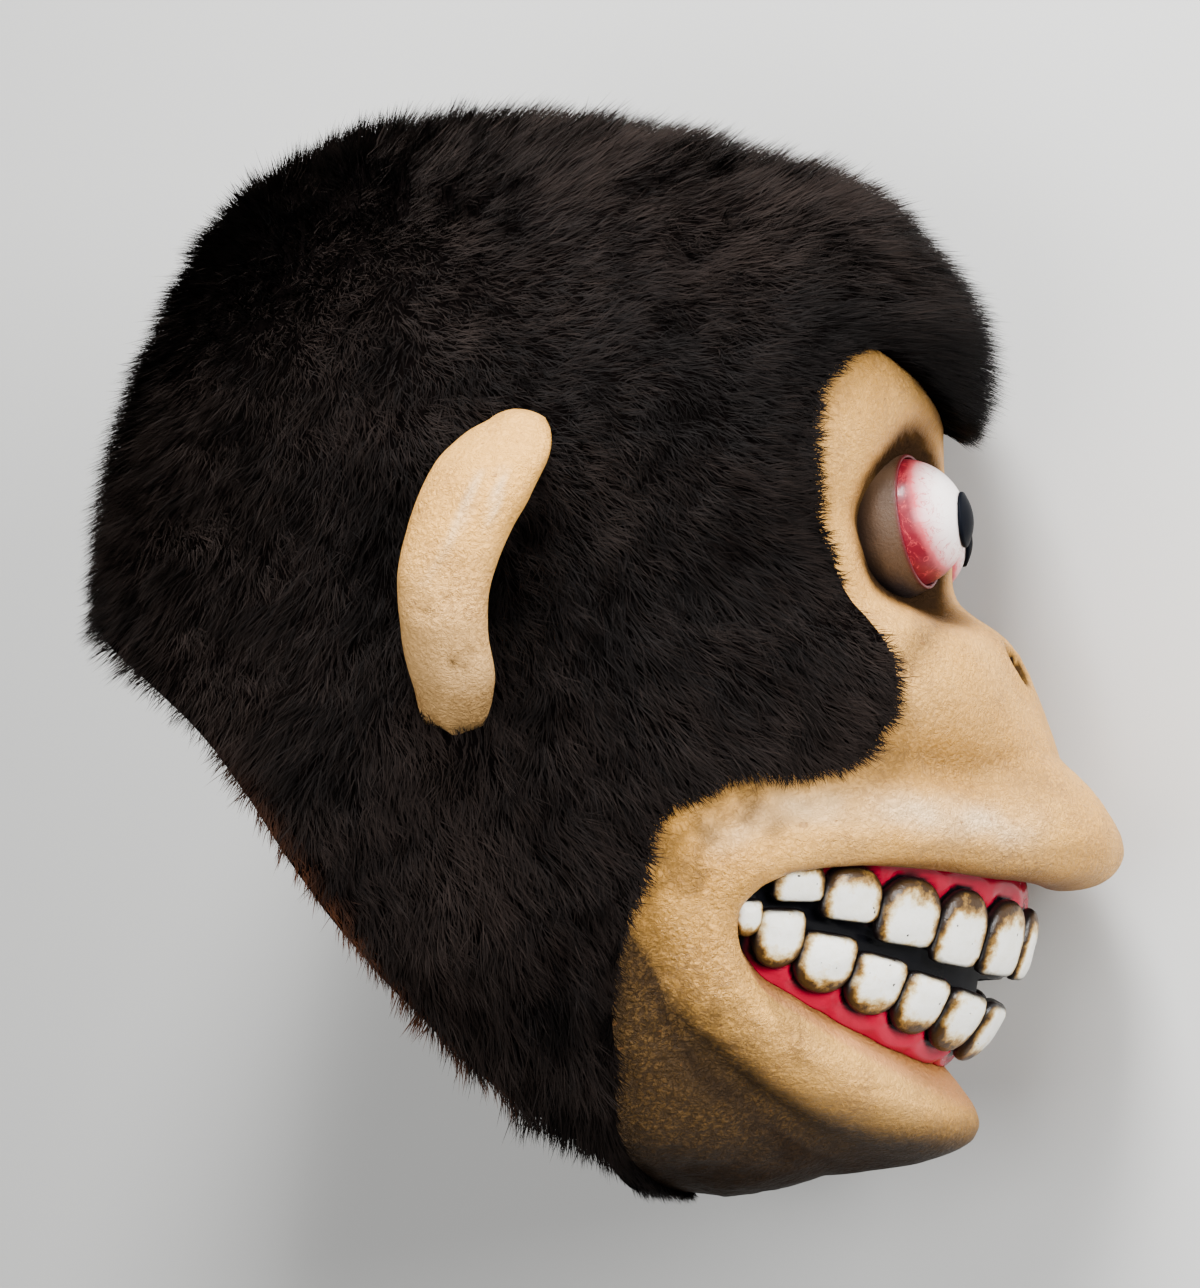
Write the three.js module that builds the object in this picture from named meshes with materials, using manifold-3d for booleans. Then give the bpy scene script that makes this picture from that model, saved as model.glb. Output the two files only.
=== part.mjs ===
// A full-head chimpanzee mask: a moulded latex head with a fur cover, bulging eyes and a toothy grin.
// Head frame, in millimetres: x forward, y towards the crown, z towards the mask's right ear.
import * as THREE from "three";
import { mergeVertices } from "three/addons/utils/BufferGeometryUtils.js";
import { ParametricGeometry } from "three/addons/geometries/ParametricGeometry.js";
import Module from "manifold-3d";

const HALF_WIDTH = 104; // half the width of the latex at the cheeks
const WALL = 2.6; // latex skin
const LIP_WALL = 8.6; // extra latex behind the lips
const LIP_HOLLOW = 0.5; // share of the lips' height that is hollow from behind
const FIT_GAP = 0.35; // clearance between pieces that touch
const COLUMNS = 20; // grid columns on each side, from the top to the bottom of the mouth
const ROLL_ROWS = 5; // grid rows over the roll of the lips
const FACE_ROWS = 9; // grid rows from the mouth to the fur
const FUR_ROWS = 9; // grid rows from the fur's edge to the neck
// The loose mask lies on its left temple: turns about x and y, and how far its weight flattens the fur.
const REST = { tip: -1, turn: 32, press: 4 };
const FLOOR_BLOCK = 500;

// Side outline of the bare latex on the middle plane: x, y and the fullness of the section there.
const PROFILE = [
  [106, 65, 2.3], [107, 90, 2.4], [98, 115, 2.45], [78, 134, 2.45], [44, 144, 2.45],
  [-19, 156, 2.4], [-74, 150, 2.4], [-104, 132, 2.4], [-137, 78, 2.3], [-152, 11, 2.3],
  [-144, -48, 2.8], [-109, -104, 3.4], [-60, -142, 3.4], [-19, -160, 3], [15, -166.5, 2.4],
  [43, -169, 2.1], [77, -160, 1.85], [104, -143, 1.75], [115, -122, 1.7], [126, -97, 1.7],
  [138, -73, 1.7], [144, -49, 1.72], [137, -22, 1.8], [126, -1, 1.9], [110, 12, 2],
  [108, 32, 2.05], [106, 50, 2.1],
];
// Edges on one side, from the middle plane round to the middle plane: station, x, y, z.
const MOUTH_EDGE = [
  [0, 137.6, -76, 0], [0.06, 136, -75.5, 15], [0.14, 129.5, -74.3, 28], [0.2, 122.6, -73.3, 36.2],
  [0.28, 107.8, -70.9, 51.5], [0.35, 93.3, -69.4, 62.7], [0.4, 79, -68.5, 71.5],
  [0.44, 64.7, -69.4, 78.4], [0.47, 54.9, -72.5, 83], [0.485, 49.2, -78.2, 84.3],
  [0.5, 47.1, -84, 83.5], [0.515, 48, -93, 80.8], [0.54, 54.4, -104.3, 74.1],
  [0.58, 64.2, -110.9, 66.9], [0.66, 78.4, -119.5, 54.6], [0.76, 92.8, -127.3, 38],
  [0.88, 104, -132.6, 19.7], [1, 109.9, -135, 0],
];
const FUR_EDGE = [
  [0, 106, 65, 0], [0.05, 103, 69.7, 33.2], [0.085, 95.3, 76.1, 56.2], [0.12, 81.8, 80.9, 71.7],
  [0.15, 69.6, 70.3, 83.2], [0.17, 67.1, 58, 86.5], [0.2, 67.4, 36, 83], [0.23, 73, 20, 78],
  [0.26, 81, 4.2, 73.7], [0.29, 90, -8.4, 72.4], [0.305, 91.6, -17.6, 72.7],
  [0.325, 88.4, -27.8, 75.4], [0.35, 80.7, -37.1, 78.6], [0.385, 65.1, -41.8, 84.8],
  [0.415, 49.6, -41, 90.7], [0.44, 36.9, -45.9, 94.1], [0.47, 24.2, -53.9, 96.9],
  [0.5, 20.7, -69.6, 95.4], [0.54, 14.5, -86.7, 93.4], [0.6, 10.9, -106.8, 88.4],
  [0.68, 11.1, -124.3, 80.8], [0.77, 9.8, -139.2, 72.4], [0.88, 12.2, -156.4, 55.2],
  [0.95, 20, -165, 31], [1, 29, -168.5, 0],
];
const NECK_EDGE = [
  [0, -148, 11, 0], [0.14, -146.5, 9, 12], [0.26, -142, 4, 26], [0.35, -133, -2, 44],
  [0.42, -120, -12, 63], [0.47, -106, -25, 78], [0.5, -96, -38, 86], [0.54, -82, -59, 91],
  [0.6, -63, -87, 92], [0.68, -44, -110, 89.5], [0.77, -27, -129, 83], [0.84, -15, -140, 77],
  [0.9, -2, -149, 65], [0.95, 8, -156, 46], [1, 13, -163, 0],
];
// Where the grid under the fur bends on its way from the face to the neck.
const CROWN_LINE = [
  [0, -20, 156, 0], [0.06, -20, 140, 55], [0.12, -22, 98, 93], [0.17, -25, 62, 101],
  [0.22, -22, 32, 104], [0.28, -16, 8, 104], [0.36, -12, -10, 104], [0.42, -16, -22, 104],
  [0.5, -32, -52, 100], [0.6, -26, -95, 95], [0.77, -8, -132, 80], [0.9, 5, -154, 60], [1, 20, -166, 0],
];
// Roll of the lips round the mouth: station, height, width, how early it crests.
const LIP_ROLL = [
  [0, 19.5, 40, 0.85], [0.1, 17, 40, 0.85], [0.22, 10.5, 36, 0.85], [0.38, 7.5, 31, 0.8],
  [0.5, 6, 29, 0.75], [0.55, 7.5, 40, 0.7], [0.62, 9.5, 47, 0.6], [0.7, 10.5, 48, 0.54], [0.8, 11, 45, 0.48],
  [0.92, 13, 46, 0.38], [1, 14, 50, 0.35],
];
// Bite: station, then where the upper and lower teeth start and end, as shares of the mouth's height.
const BITE = [
  [0, 0.13, 0.45, 0.57, 0.92], [0.2, 0.1, 0.475, 0.545, 0.875], [0.3, 0.09, 0.45, 0.52, 0.87],
  [0.38, 0.07, 0.4, 0.51, 0.9], [0.44, 0, 0.31, 0.38, 0.87], [0.5, 0, 0.15, 0.22, 0.74],
];
const CORNER = 0.5; // station of the mouth's corner
const LIP_DEPTH = 7; // from the lips' edge back to the gums
const GUM_BULGE = [[0, 8], [0.25, 4], [0.5, 1]];
const GROOVE = 2.5; // between the two rows of teeth
// Where each tooth of one side starts, measured along the gums from the middle.
const TEETH = [
  { upper: true, edges: [0, 12, 33, 53.5, 75.3, 95, 111.5] },
  { upper: false, edges: [0, 16.5, 36.5, 55, 74, 92.8, 108.5, 117] },
];
const TOOTH = { depth: 3.6, proud: 1.7, square: 3.6 }; // half its depth, how far its centre stands off the gum
const SLOT = { x: 116, top: -103.3, bottom: -112, reach: 60 }; // see-through slot between the teeth

const EYE = { x: 94, y: 33.5, z: 37, r: 19.6, back: -3, yaw: 17, pitch: 8, steps: 16 };
const LID = { outer: 22.3, aperture: 4.8, lip: 1.1, root: -12 };
const SOCKET = { y: 33.5, z: 41, depth: 15, reach: 36 };
const PUPIL = { r: 8.4, proud: 1.9, edge: 1, yaw: 9, steps: 14 };
const NOSTRIL = { x: 129.7, y: -8.4, z: 15.8, r: 4.2 };

const PILE = { full: 12, edge: 6, brow: 17, browEdge: 12.5, throat: 4, thin: 4, wave: 1.2, overhang: 3 };

// Ear sections from the lobe up: y, back edge x, front edge x, outer rim z.
const EAR = [
  [-31, -38.5, -25.5, 116], [-27, -41, -22, 123], [-16, -43, -19, 133], [-3, -45.2, -20, 141],
  [10, -45.2, -18.5, 145], [22, -43.5, -14, 146], [34, -40, -8, 144], [45, -33.5, -3.4, 139],
  [53, -26, -3.6, 131], [58, -19, -5, 125],
];
const EAR_WALL = 7;
const EAR_TIP = 2.5; // rounding of its two ends
const EAR_GAP = 0.9; // between the ears and the fur
const EAR_ROOT = 1.6; // how deep the ear is set into the head's wall
const EAR_ROOM_DEPTH = 4;

const wasm = await Module();
wasm.setup();

const clamp = THREE.MathUtils.clamp;
const lerp = THREE.MathUtils.lerp;
const smooth = THREE.MathUtils.smoothstep;

// Cubic through rows [t, ...values] with uneven steps, passing through each row.
function cubicAt(rows, t) {
  let i = 1;
  while (i < rows.length - 3 && rows[i + 1][0] <= t) i++;
  const [p, a, b, n] = [rows[i - 1], rows[i], rows[i + 1], rows[i + 2]];
  const h = b[0] - a[0];
  const s = (t - a[0]) / h;
  return a.slice(1).map((va, k) => {
    const vb = b[k + 1];
    const ma = (h * (vb - p[k + 1])) / (b[0] - p[0]);
    const mb = (h * (n[k + 1] - va)) / (n[0] - a[0]);
    return (
      (2 * s ** 3 - 3 * s ** 2 + 1) * va + (s ** 3 - 2 * s ** 2 + s) * ma +
      (3 * s ** 2 - 2 * s ** 3) * vb + (s ** 3 - s ** 2) * mb
    );
  });
}

function linearAt(rows, t) {
  let i = 0;
  while (i < rows.length - 2 && rows[i + 1][0] <= t) i++;
  const s = clamp((t - rows[i][0]) / (rows[i + 1][0] - rows[i][0]), 0, 1);
  return rows[i].slice(1).map((v, k) => lerp(v, rows[i + 1][k + 1], s));
}

// Outline as radius and fullness against the angle round the head, closed on itself.
const outline = PROFILE.map(([x, y, n]) => [Math.atan2(y, x), Math.hypot(x, y), n]);
outline.sort((a, b) => a[0] - b[0]);
const turned = (row, turn) => [row[0] + turn * 2 * Math.PI, row[1], row[2]];
const ring = [
  ...outline.slice(-2).map((r) => turned(r, -1)),
  ...outline,
  ...outline.slice(0, 3).map((r) => turned(r, 1)),
];

function baseRadius(d) {
  const [r0, n] = cubicAt(ring, Math.atan2(d.y, d.x));
  return ((Math.hypot(d.x, d.y) / r0) ** n + (Math.abs(d.z) / HALF_WIDTH) ** n) ** (-1 / n);
}

// Height of the base above the middle plane
function baseHeight(x, y) {
  const [r0, n] = cubicAt(ring, Math.atan2(y, x));
  return HALF_WIDTH * (1 - (Math.hypot(x, y) / r0) ** n) ** (1 / n);
}

// An edge as a closed curve of directions, mirrored at the middle plane.
function edgeCurve(rows) {
  const dirs = rows.map(([t, x, y, z]) => [t, ...new THREE.Vector3(x, y, z).normalize().toArray()]);
  const mirror = ([t, x, y, z], about) => [2 * about - t, x, y, -z];
  const all = [mirror(dirs[1], 0), ...dirs, mirror(dirs.at(-2), 1)];
  return (t) => {
    const d = new THREE.Vector3(...cubicAt(all, t)).normalize();
    if (t === 0 || t === 1) d.z = 0;
    return d.normalize();
  };
}
const mouthDir = edgeCurve(MOUTH_EDGE);
const furDir = edgeCurve(FUR_EDGE);
const neckDir = edgeCurve(NECK_EDGE);
const crownDir = edgeCurve(CROWN_LINE);

function between(a, b, v) {
  const angle = a.angleTo(b);
  if (angle < 1e-6) return a.clone();
  return a.clone().multiplyScalar(Math.sin((1 - v) * angle))
    .addScaledVector(b, Math.sin(v * angle)).divideScalar(Math.sin(angle));
}

const onBase = (d) => d.clone().multiplyScalar(baseRadius(d));

// Raised lips and sunken sockets at a point of the base.
function relief(t, point) {
  const [height, width, early] = linearAt(LIP_ROLL, t);
  const q = clamp(point.distanceTo(onBase(mouthDir(t))) / width, 0, 1);
  return { lip: height * Math.sin(Math.PI * q ** early), socket: SOCKET.depth * socketShare(point) };
}

function socketShare(point) {
  if (point.x < 0) return 0;
  const q = Math.hypot(point.y - SOCKET.y, point.z - SOCKET.z) / SOCKET.reach;
  return q < 1 ? (1 - q * q) ** 2 * (1 + 0.3 * clamp((point.z - EYE.z) / EYE.r, -1, 1)) : 0;
}

// The skin at station t of one side; v runs 0 to 1 over the face and 1 to 2 under the fur.
function skin(t, v) {
  const d = skinDir(t, v);
  const point = onBase(d);
  const { lip, socket } = relief(t, point);
  return point.addScaledVector(d, lip - socket);
}

// Share of the way from mouth to fur: the first rows keep to the roll of the lips.
function faceShare(t, v) {
  const [m, f] = [onBase(mouthDir(t)), onBase(furDir(t))];
  const roll = Math.min(linearAt(LIP_ROLL, t)[1] / m.distanceTo(f), 0.85);
  const knee = ROLL_ROWS / FACE_ROWS;
  return v < knee ? (v / knee) ** 1.3 * roll : lerp(roll, 1, (v - knee) / (1 - knee));
}

function skinDir(t, v) {
  if (v <= 1) return between(mouthDir(t), furDir(t), faceShare(t, v));
  const crown = crownDir(t);
  return between(between(furDir(t), crown, v - 1), between(crown, neckDir(t), v - 1), v - 1);
}

function skinNormal(t, v) {
  const e = 0.004;
  const across = skin(Math.min(t + e, 1), v).sub(skin(Math.max(t - e, 0), v));
  const along = skin(t, Math.min(v + e, 2)).sub(skin(t, Math.max(v - e, 0)));
  const n = along.cross(across).normalize();
  if (t === 0 || t === 1) n.z = 0;
  return n.normalize();
}

function innerSkin(t, v) {
  const d = skinDir(t, v);
  const point = onBase(d);
  const { lip, socket } = relief(t, point);
  const behindLips = LIP_WALL * (1 - smooth(point.distanceTo(onBase(mouthDir(t))), 3, 30));
  const slope = clamp(d.dot(skinNormal(t, Math.max(v, 0.3))), 0.7, 1);
  return point.addScaledVector(d, LIP_HOLLOW * lip - socket - WALL / slope - behindLips - 0.2 * socket);
}

// The gums close the mouth: a ladder of rungs from the upper edge at t to the lower edge at 1 - t.
function rungEnd(t, depth) {
  const point = skin(t, 0);
  return point.addScaledVector(mouthDir(t), -depth);
}

function gum(t, v, depth = LIP_DEPTH, groove = GROOVE) {
  const a = rungEnd(t, depth);
  const b = rungEnd(1 - t, depth);
  if (v === 0 || t === CORNER) return a;
  if (v === 1) return b;
  const out = between(mouthDir(t), mouthDir(1 - t), v);
  const [, upperEnd, lowerStart] = linearAt(BITE, t);
  const bite = Math.abs(v - (upperEnd + lowerStart) / 2) / 0.12;
  const rise = linearAt(GUM_BULGE, t)[0] * 4 * v * (1 - v) - (bite < 1 ? groove * (1 - bite) : 0);
  return a.lerp(b, v).addScaledVector(out, rise);
}

// Closed solids from patches
const rowsOver = (steps) => (v) => steps[Math.round(v * (steps.length - 1))];
const faceSteps = Array.from({ length: FACE_ROWS }, (_, k) => k / FACE_ROWS);
const furSteps = Array.from({ length: FUR_ROWS + 1 }, (_, k) => 1 + (k / FUR_ROWS) ** 1.15);
const skinSteps = [...faceSteps, ...furSteps];
const innerSteps = [...faceSteps, ...furSteps.filter((_, k) => k % 2 === FUR_ROWS % 2 || !k)];

const gumSteps = [0, 0.13, 0.28, 0.42, 0.52, 0.62, 0.75, 0.88, 1];

// A patch that goes right round the head: u over both sides, v over the given steps.
function roundPatch(at, steps, flip = false) {
  const step = rowsOver(steps);
  const surface = (u, v, target) => {
    const j = Math.round(u * 2 * COLUMNS) % (2 * COLUMNS);
    const left = j > COLUMNS;
    const t = (left ? 2 * COLUMNS - j : j) / COLUMNS;
    const p = at(t, step(v));
    target.set(p.x, p.y, left ? -p.z : p.z);
  };
  return patch(surface, 2 * COLUMNS, steps.length - 1, flip);
}

// A patch across the mouth: u from the left corner to the right one, v down the rungs.
function mouthPatch(at, steps, flip = false) {
  const step = rowsOver(steps);
  const surface = (u, v, target) => {
    const j = Math.round(u * COLUMNS) - COLUMNS / 2;
    const p = at(Math.abs(j) / COLUMNS, step(v));
    target.set(p.x, p.y, j < 0 ? -p.z : p.z);
  };
  return patch(surface, COLUMNS, steps.length - 1, flip);
}

function patch(surface, slices, stacks, flip) {
  const g = new ParametricGeometry(surface, slices, stacks);
  const index = Array.from(g.index.array);
  if (flip) for (let i = 0; i < index.length; i += 3) [index[i], index[i + 1]] = [index[i + 1], index[i]];
  return { positions: g.attributes.position.array, index };
}

function joined(patches) {
  const positions = [];
  const index = [];
  for (const p of patches) {
    const first = positions.length / 3;
    positions.push(...p.positions);
    index.push(...p.index.map((i) => i + first));
  }
  return new THREE.BufferGeometry()
    .setAttribute("position", new THREE.Float32BufferAttribute(positions, 3))
    .setIndex(index);
}

function solid(geometry) {
  const bare = geometry.clone();
  bare.deleteAttribute("normal");
  bare.deleteAttribute("uv");
  const merged = mergeVertices(bare, 1e-3);
  const index = merged.index.array;
  const kept = [];
  for (let i = 0; i < index.length; i += 3) {
    const [a, b, c] = [index[i], index[i + 1], index[i + 2]];
    if (a !== b && b !== c && a !== c) kept.push(a, b, c);
  }
  const build = () =>
    new wasm.Manifold(
      new wasm.Mesh({
        numProp: 3,
        vertProperties: merged.attributes.position.array,
        triVerts: new Uint32Array(kept),
      }),
    );
  const made = build();
  if (made.volume() > 0) return made;
  kept.reverse(); // faces the other way
  return build();
}

function geometryOf(made) {
  const { numProp, vertProperties, triVerts } = made.getMesh();
  const positions = new Float32Array((vertProperties.length / numProp) * 3);
  for (let i = 0; i < positions.length / 3; i++)
    positions.set(vertProperties.subarray(i * numProp, i * numProp + 3), i * 3);
  const g = new THREE.BufferGeometry()
    .setAttribute("position", new THREE.BufferAttribute(positions, 3))
    .setIndex(new THREE.BufferAttribute(triVerts, 1));
  g.computeVertexNormals();
  return g;
}

const mirrored = (geometry) => geometry.clone().scale(1, 1, -1);

// Latex shell
function latexShell() {
  return solid(
    joined([
      roundPatch(skin, skinSteps, true),
      roundPatch((t, v) => (v === 0 ? skin(t, 0) : gum(t, 0)), [0, 1]),
      mouthPatch((t, v) => gum(t, v), gumSteps),
      roundPatch((t, v) => (v === 0 ? skin(t, 2) : innerSkin(t, 2)), [0, 1], true),
      roundPatch(innerSkin, innerSteps),
      mouthPatch(innerGum, gumSteps, true),
    ]),
  );
}

function innerGum(t, v) {
  if (v === 0 || t === CORNER) return innerSkin(t, 0);
  if (v === 1) return innerSkin(1 - t, 0);
  const out = between(mouthDir(t), mouthDir(1 - t), v);
  const rise = linearAt(GUM_BULGE, t)[0] * 4 * v * (1 - v);
  return innerSkin(t, 0).lerp(innerSkin(1 - t, 0), v).addScaledVector(out, rise);
}

// Teeth: rounded blocks set along the gums from the middle to the corners
function toothSolid(t, upper, width) {
  const [u0, u1, l0, l1] = linearAt(BITE, t);
  const [v0, v1] = upper ? [u0, u1] : [l0, l1];
  const v = (v0 + v1) / 2;
  const at = (tt, vv) => gum(clamp(tt, 0, 0.5), vv, LIP_DEPTH, 0);
  const e = 0.01;
  const along = at(t + e, v).sub(at(t - e, v)).normalize();
  const down = at(t, v + e).sub(at(t, v - e));
  const tall = down.length() / (2 * e) * (v1 - v0);
  down.normalize();
  const out = down.clone().cross(along).normalize();
  if (out.dot(at(t, v)) < 0) out.negate();
  const g = new THREE.SphereGeometry(1, 8, 3);
  const p = g.attributes.position;
  for (let i = 0; i < p.count; i++) {
    const k = TOOTH.square;
    const size = (Math.abs(p.getX(i)) ** k + Math.abs(p.getY(i)) ** k + Math.abs(p.getZ(i)) ** k) ** (1 / k);
    p.setXYZ(i, p.getX(i) / size, p.getY(i) / size, p.getZ(i) / size);
  }
  g.applyMatrix4(new THREE.Matrix4().makeRotationAxis(new THREE.Vector3(1, 0, 0), Math.PI / 2));
  const side = down.clone().cross(out);
  const frame = new THREE.Matrix4().makeBasis(
    side.multiplyScalar((width / 2) * 0.97),
    down.multiplyScalar(tall / 2),
    out.clone().multiplyScalar(TOOTH.depth),
  );
  frame.setPosition(at(t, v).addScaledVector(out, TOOTH.proud));
  return g.applyMatrix4(frame);
}

function teeth() {
  const made = [];
  for (const row of TEETH) {
    const where = [];
    let length = 0;
    let last = null;
    for (let t = 0; t <= 0.5; t += 0.002) {
      const [u0, u1, l0, l1] = linearAt(BITE, t);
      const p = gum(t, row.upper ? (u0 + u1) / 2 : (l0 + l1) / 2, LIP_DEPTH, 0);
      if (last) length += p.distanceTo(last);
      last = p;
      where.push([length, t]);
    }
    for (let i = 1; i < row.edges.length; i++) {
      const [from, to] = [row.edges[i - 1], row.edges[i]];
      const g = toothSolid(linearAt(where, (from + to) / 2)[0], row.upper, to - from);
      made.push(solid(g), solid(mirrored(g)));
    }
  }
  return made;
}

// Ears: a curled shell, one section for each height
const earRoot = (x, y) => baseHeight(x, y) - EAR_ROOT;

function earSection([y, back, front, rim]) {
  const wall = Math.min(EAR_WALL, (front - back) * 0.62);
  const drop = Math.min(18, (rim - earRoot(back, y)) * 0.6);
  return [
    [back + 8, earRoot(back + 8, y)], [back + 2, rim - drop * 1.6], [back, rim - drop],
    [back + 2.5, rim - 7], [lerp(back, front, 0.45), rim], [lerp(back, front, 0.85), rim - 2],
    [front, rim - 8], [front - 2.5, rim - drop], [Math.max(front - wall, back + wall), rim - drop * 0.85],
    [back + wall + 1, rim - drop * 0.95], [back + wall + 2, rim - drop * 1.6],
    [back + wall + 8, earRoot(back + wall + 8, y)],
  ].map(([x, z]) => [x, y, z]);
}

// A solid through closed sections, its ends drawn out to a point or flat.
function loft(sections, endReach) {
  const size = sections[0].length;
  const levels = sections.length;
  const surface = (u, v, target) => {
    const row = clamp(Math.round(v * (levels + 1)) - 1, 0, levels - 1);
    const section = sections[row];
    if (v > 0 && v < 1) return target.set(...section[Math.round(u * size) % size]);
    const [x, y, z] = [0, 1, 2].map((k) => section.reduce((sum, q) => sum + q[k], 0) / size);
    target.set(x, y + Math.sign(v - 0.5) * endReach, z);
  };
  return joined([patch(surface, size, levels + 1, false)]);
}

const earGeometry = () => loft(EAR.map(earSection), EAR_TIP);

// Room for an ear in the fur: a block round each section
function earRoom() {
  const sections = EAR.map(earSection).map((section) => {
    const [xs, ys, zs] = [0, 1, 2].map((k) => section.map((q) => q[k]));
    const [x0, x1] = [Math.min(...xs) - EAR_GAP, Math.max(...xs) + EAR_GAP];
    const [z0, z1] = [Math.min(...zs) - EAR_ROOM_DEPTH, Math.max(...zs) + EAR_GAP];
    return [[x0, ys[0], z0], [x0, ys[0], z1], [x1, ys[0], z1], [x1, ys[0], z0]];
  });
  const shifted = (section, dy) => section.map(([x, y, z]) => [x, y + dy, z]);
  const reach = EAR_TIP + EAR_GAP;
  return loft([shifted(sections[0], -reach), ...sections, shifted(sections.at(-1), reach)], 0);
}

// Eyes: a lathe about the axis that each eye looks along
function lookAlong(geometry, side, yaw, pitch) {
  const [a, b] = [yaw, pitch].map(THREE.MathUtils.degToRad);
  const axis = new THREE.Vector3(Math.cos(a) * Math.cos(b), Math.sin(b), side * Math.sin(a) * Math.cos(b));
  const turn = new THREE.Quaternion().setFromUnitVectors(new THREE.Vector3(0, 1, 0), axis);
  return geometry.applyQuaternion(turn).translate(EYE.x, EYE.y, side * EYE.z);
}

const onBall = (r, h) => new THREE.Vector2(Math.sqrt(r * r - h * h), h);

// The seat that the eyeball sits in, from its floor to the edge of the lid.
const seatSteps = () => [EYE.back - FIT_GAP, 1, LID.aperture / 2, LID.aperture - 0.2].map((h) => onBall(EYE.r + FIT_GAP, h));

function lidCup(side) {
  const { outer, aperture, lip, root } = LID;
  const floor = EYE.back - FIT_GAP;
  const points = [
    new THREE.Vector2(0, root), onBall(outer, root), onBall(outer, -6), onBall(outer, 0),
    onBall(outer, aperture / 2), onBall(outer, aperture - 1), onBall(outer - lip, aperture + 0.6),
    ...seatSteps().reverse(), new THREE.Vector2(0, floor),
  ];
  return lookAlong(new THREE.LatheGeometry(points, EYE.steps), side, EYE.yaw, EYE.pitch);
}

function seatCutter(side) {
  const seat = EYE.r + FIT_GAP;
  const points = [new THREE.Vector2(0, EYE.back - FIT_GAP), ...seatSteps()];
  points.push(new THREE.Vector2(seat, LID.aperture + 4.6), new THREE.Vector2(0, 26));
  return lookAlong(new THREE.LatheGeometry(points, EYE.steps), side, EYE.yaw, EYE.pitch);
}

function eyeball(side) {
  const points = [new THREE.Vector2(0, EYE.back)];
  for (let k = 0; k <= 7; k++) {
    const h = lerp(EYE.back, EYE.r, Math.sin((k / 7) * (Math.PI / 2)));
    points.push(k === 7 ? new THREE.Vector2(0, EYE.r) : onBall(EYE.r, h));
  }
  return lookAlong(new THREE.LatheGeometry(points, EYE.steps), side, EYE.yaw, EYE.pitch);
}

// A lens that sits on the ball with an even gap.
function pupil(side) {
  const seat = EYE.r + FIT_GAP;
  const rim = Math.sqrt(seat * seat - PUPIL.r * PUPIL.r);
  const points = [new THREE.Vector2(0, seat), onBall(seat, (seat + rim) / 2)];
  const top = EYE.r + PUPIL.proud;
  for (const k of [1, 0.96, 0.8, 0.5, 0])
    points.push(new THREE.Vector2(PUPIL.r * k, lerp(rim, rim + PUPIL.edge, Math.min(1, (1 - k) * 20)) +
      (k < 1 ? (top - rim - PUPIL.edge) * (1 - k * k) : 0)));
  return lookAlong(new THREE.LatheGeometry(points, PUPIL.steps), side, PUPIL.yaw, EYE.pitch * 0.4);
}

function latexHead() {
  let head = latexShell();
  const slot = new THREE.BoxGeometry(60, SLOT.top - SLOT.bottom, 2 * SLOT.reach)
    .translate(SLOT.x + 30, (SLOT.top + SLOT.bottom) / 2, 0);
  head = head.subtract(solid(slot));
  for (const tooth of teeth()) head = head.add(tooth);
  for (const side of [1, -1]) {
    const ear = earGeometry();
    head = head.add(solid(side > 0 ? ear : mirrored(ear)));
    head = head.add(solid(lidCup(side))).subtract(solid(seatCutter(side)));
    const pit = new THREE.SphereGeometry(NOSTRIL.r, 6, 4).scale(0.8, 1, 0.7);
    head = head.subtract(solid(pit.translate(NOSTRIL.x, NOSTRIL.y, side * NOSTRIL.z)));
  }
  return head;
}

// Fur: an even pile over the skin from the face's edge to the neck
function pile(t, v) {
  const brow = 1 - smooth(t, 0.08, 0.16);
  const throat = smooth(t, 0.8, 0.97);
  const edge = lerp(PILE.edge, PILE.browEdge, brow) * (1 - 0.4 * throat);
  const full = lerp(lerp(PILE.full, PILE.brow, brow * (1 - smooth(v, 1.06, 1.17))), PILE.throat, throat);
  const wave = PILE.wave * Math.sin(9 * v + 5 * t) * Math.sin(23 * t + 3 * v) * smooth(v, 1, 1.2);
  return lerp(edge, full, smooth(v, 1, 1 + lerp(0.14, 0.05, brow))) + wave - PILE.thin * smooth(v, 1.8, 2) * (1 - throat);
}

function furSolid() {
  const under = (t, v) => skin(t, v).addScaledVector(skinNormal(t, v), FIT_GAP);
  const over = (t, v) => {
    const p = skin(t, v).addScaledVector(skinNormal(t, v), FIT_GAP + pile(t, v));
    const back = skin(t, v).sub(skin(t, v - 0.02)).normalize();
    if (t === 0 || t === 1) back.z = 0;
    return p.addScaledVector(back, PILE.overhang * smooth(v, 1.8, 2));
  };
  return solid(
    joined([
      roundPatch(over, furSteps, true),
      roundPatch((t, v) => (v ? under(t, 1) : over(t, 1)), [0, 1]),
      roundPatch(under, furSteps),
      roundPatch((t, v) => (v ? under(t, 2) : over(t, 2)), [0, 1], true),
    ]),
  );
}

function furCover() {
  let fur = furSolid();
  for (const room of [earRoom(), mirrored(earRoom())]) fur = fur.subtract(solid(room));
  return fur;
}

// Flat where it lies: the pile under the head is pressed to the floor.
const restTurn = new THREE.Euler(THREE.MathUtils.degToRad(REST.tip), THREE.MathUtils.degToRad(REST.turn), 0);

function pressed(made) {
  const lying = geometryOf(made).applyQuaternion(new THREE.Quaternion().setFromEuler(restTurn));
  lying.computeBoundingBox();
  const floor = lying.boundingBox.min.z + REST.press;
  const block = new THREE.BoxGeometry(FLOOR_BLOCK, FLOOR_BLOCK, FLOOR_BLOCK)
    .translate(0, 0, floor - FLOOR_BLOCK / 2)
    .applyQuaternion(new THREE.Quaternion().setFromEuler(restTurn).invert());
  return made.subtract(solid(block));
}

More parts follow.
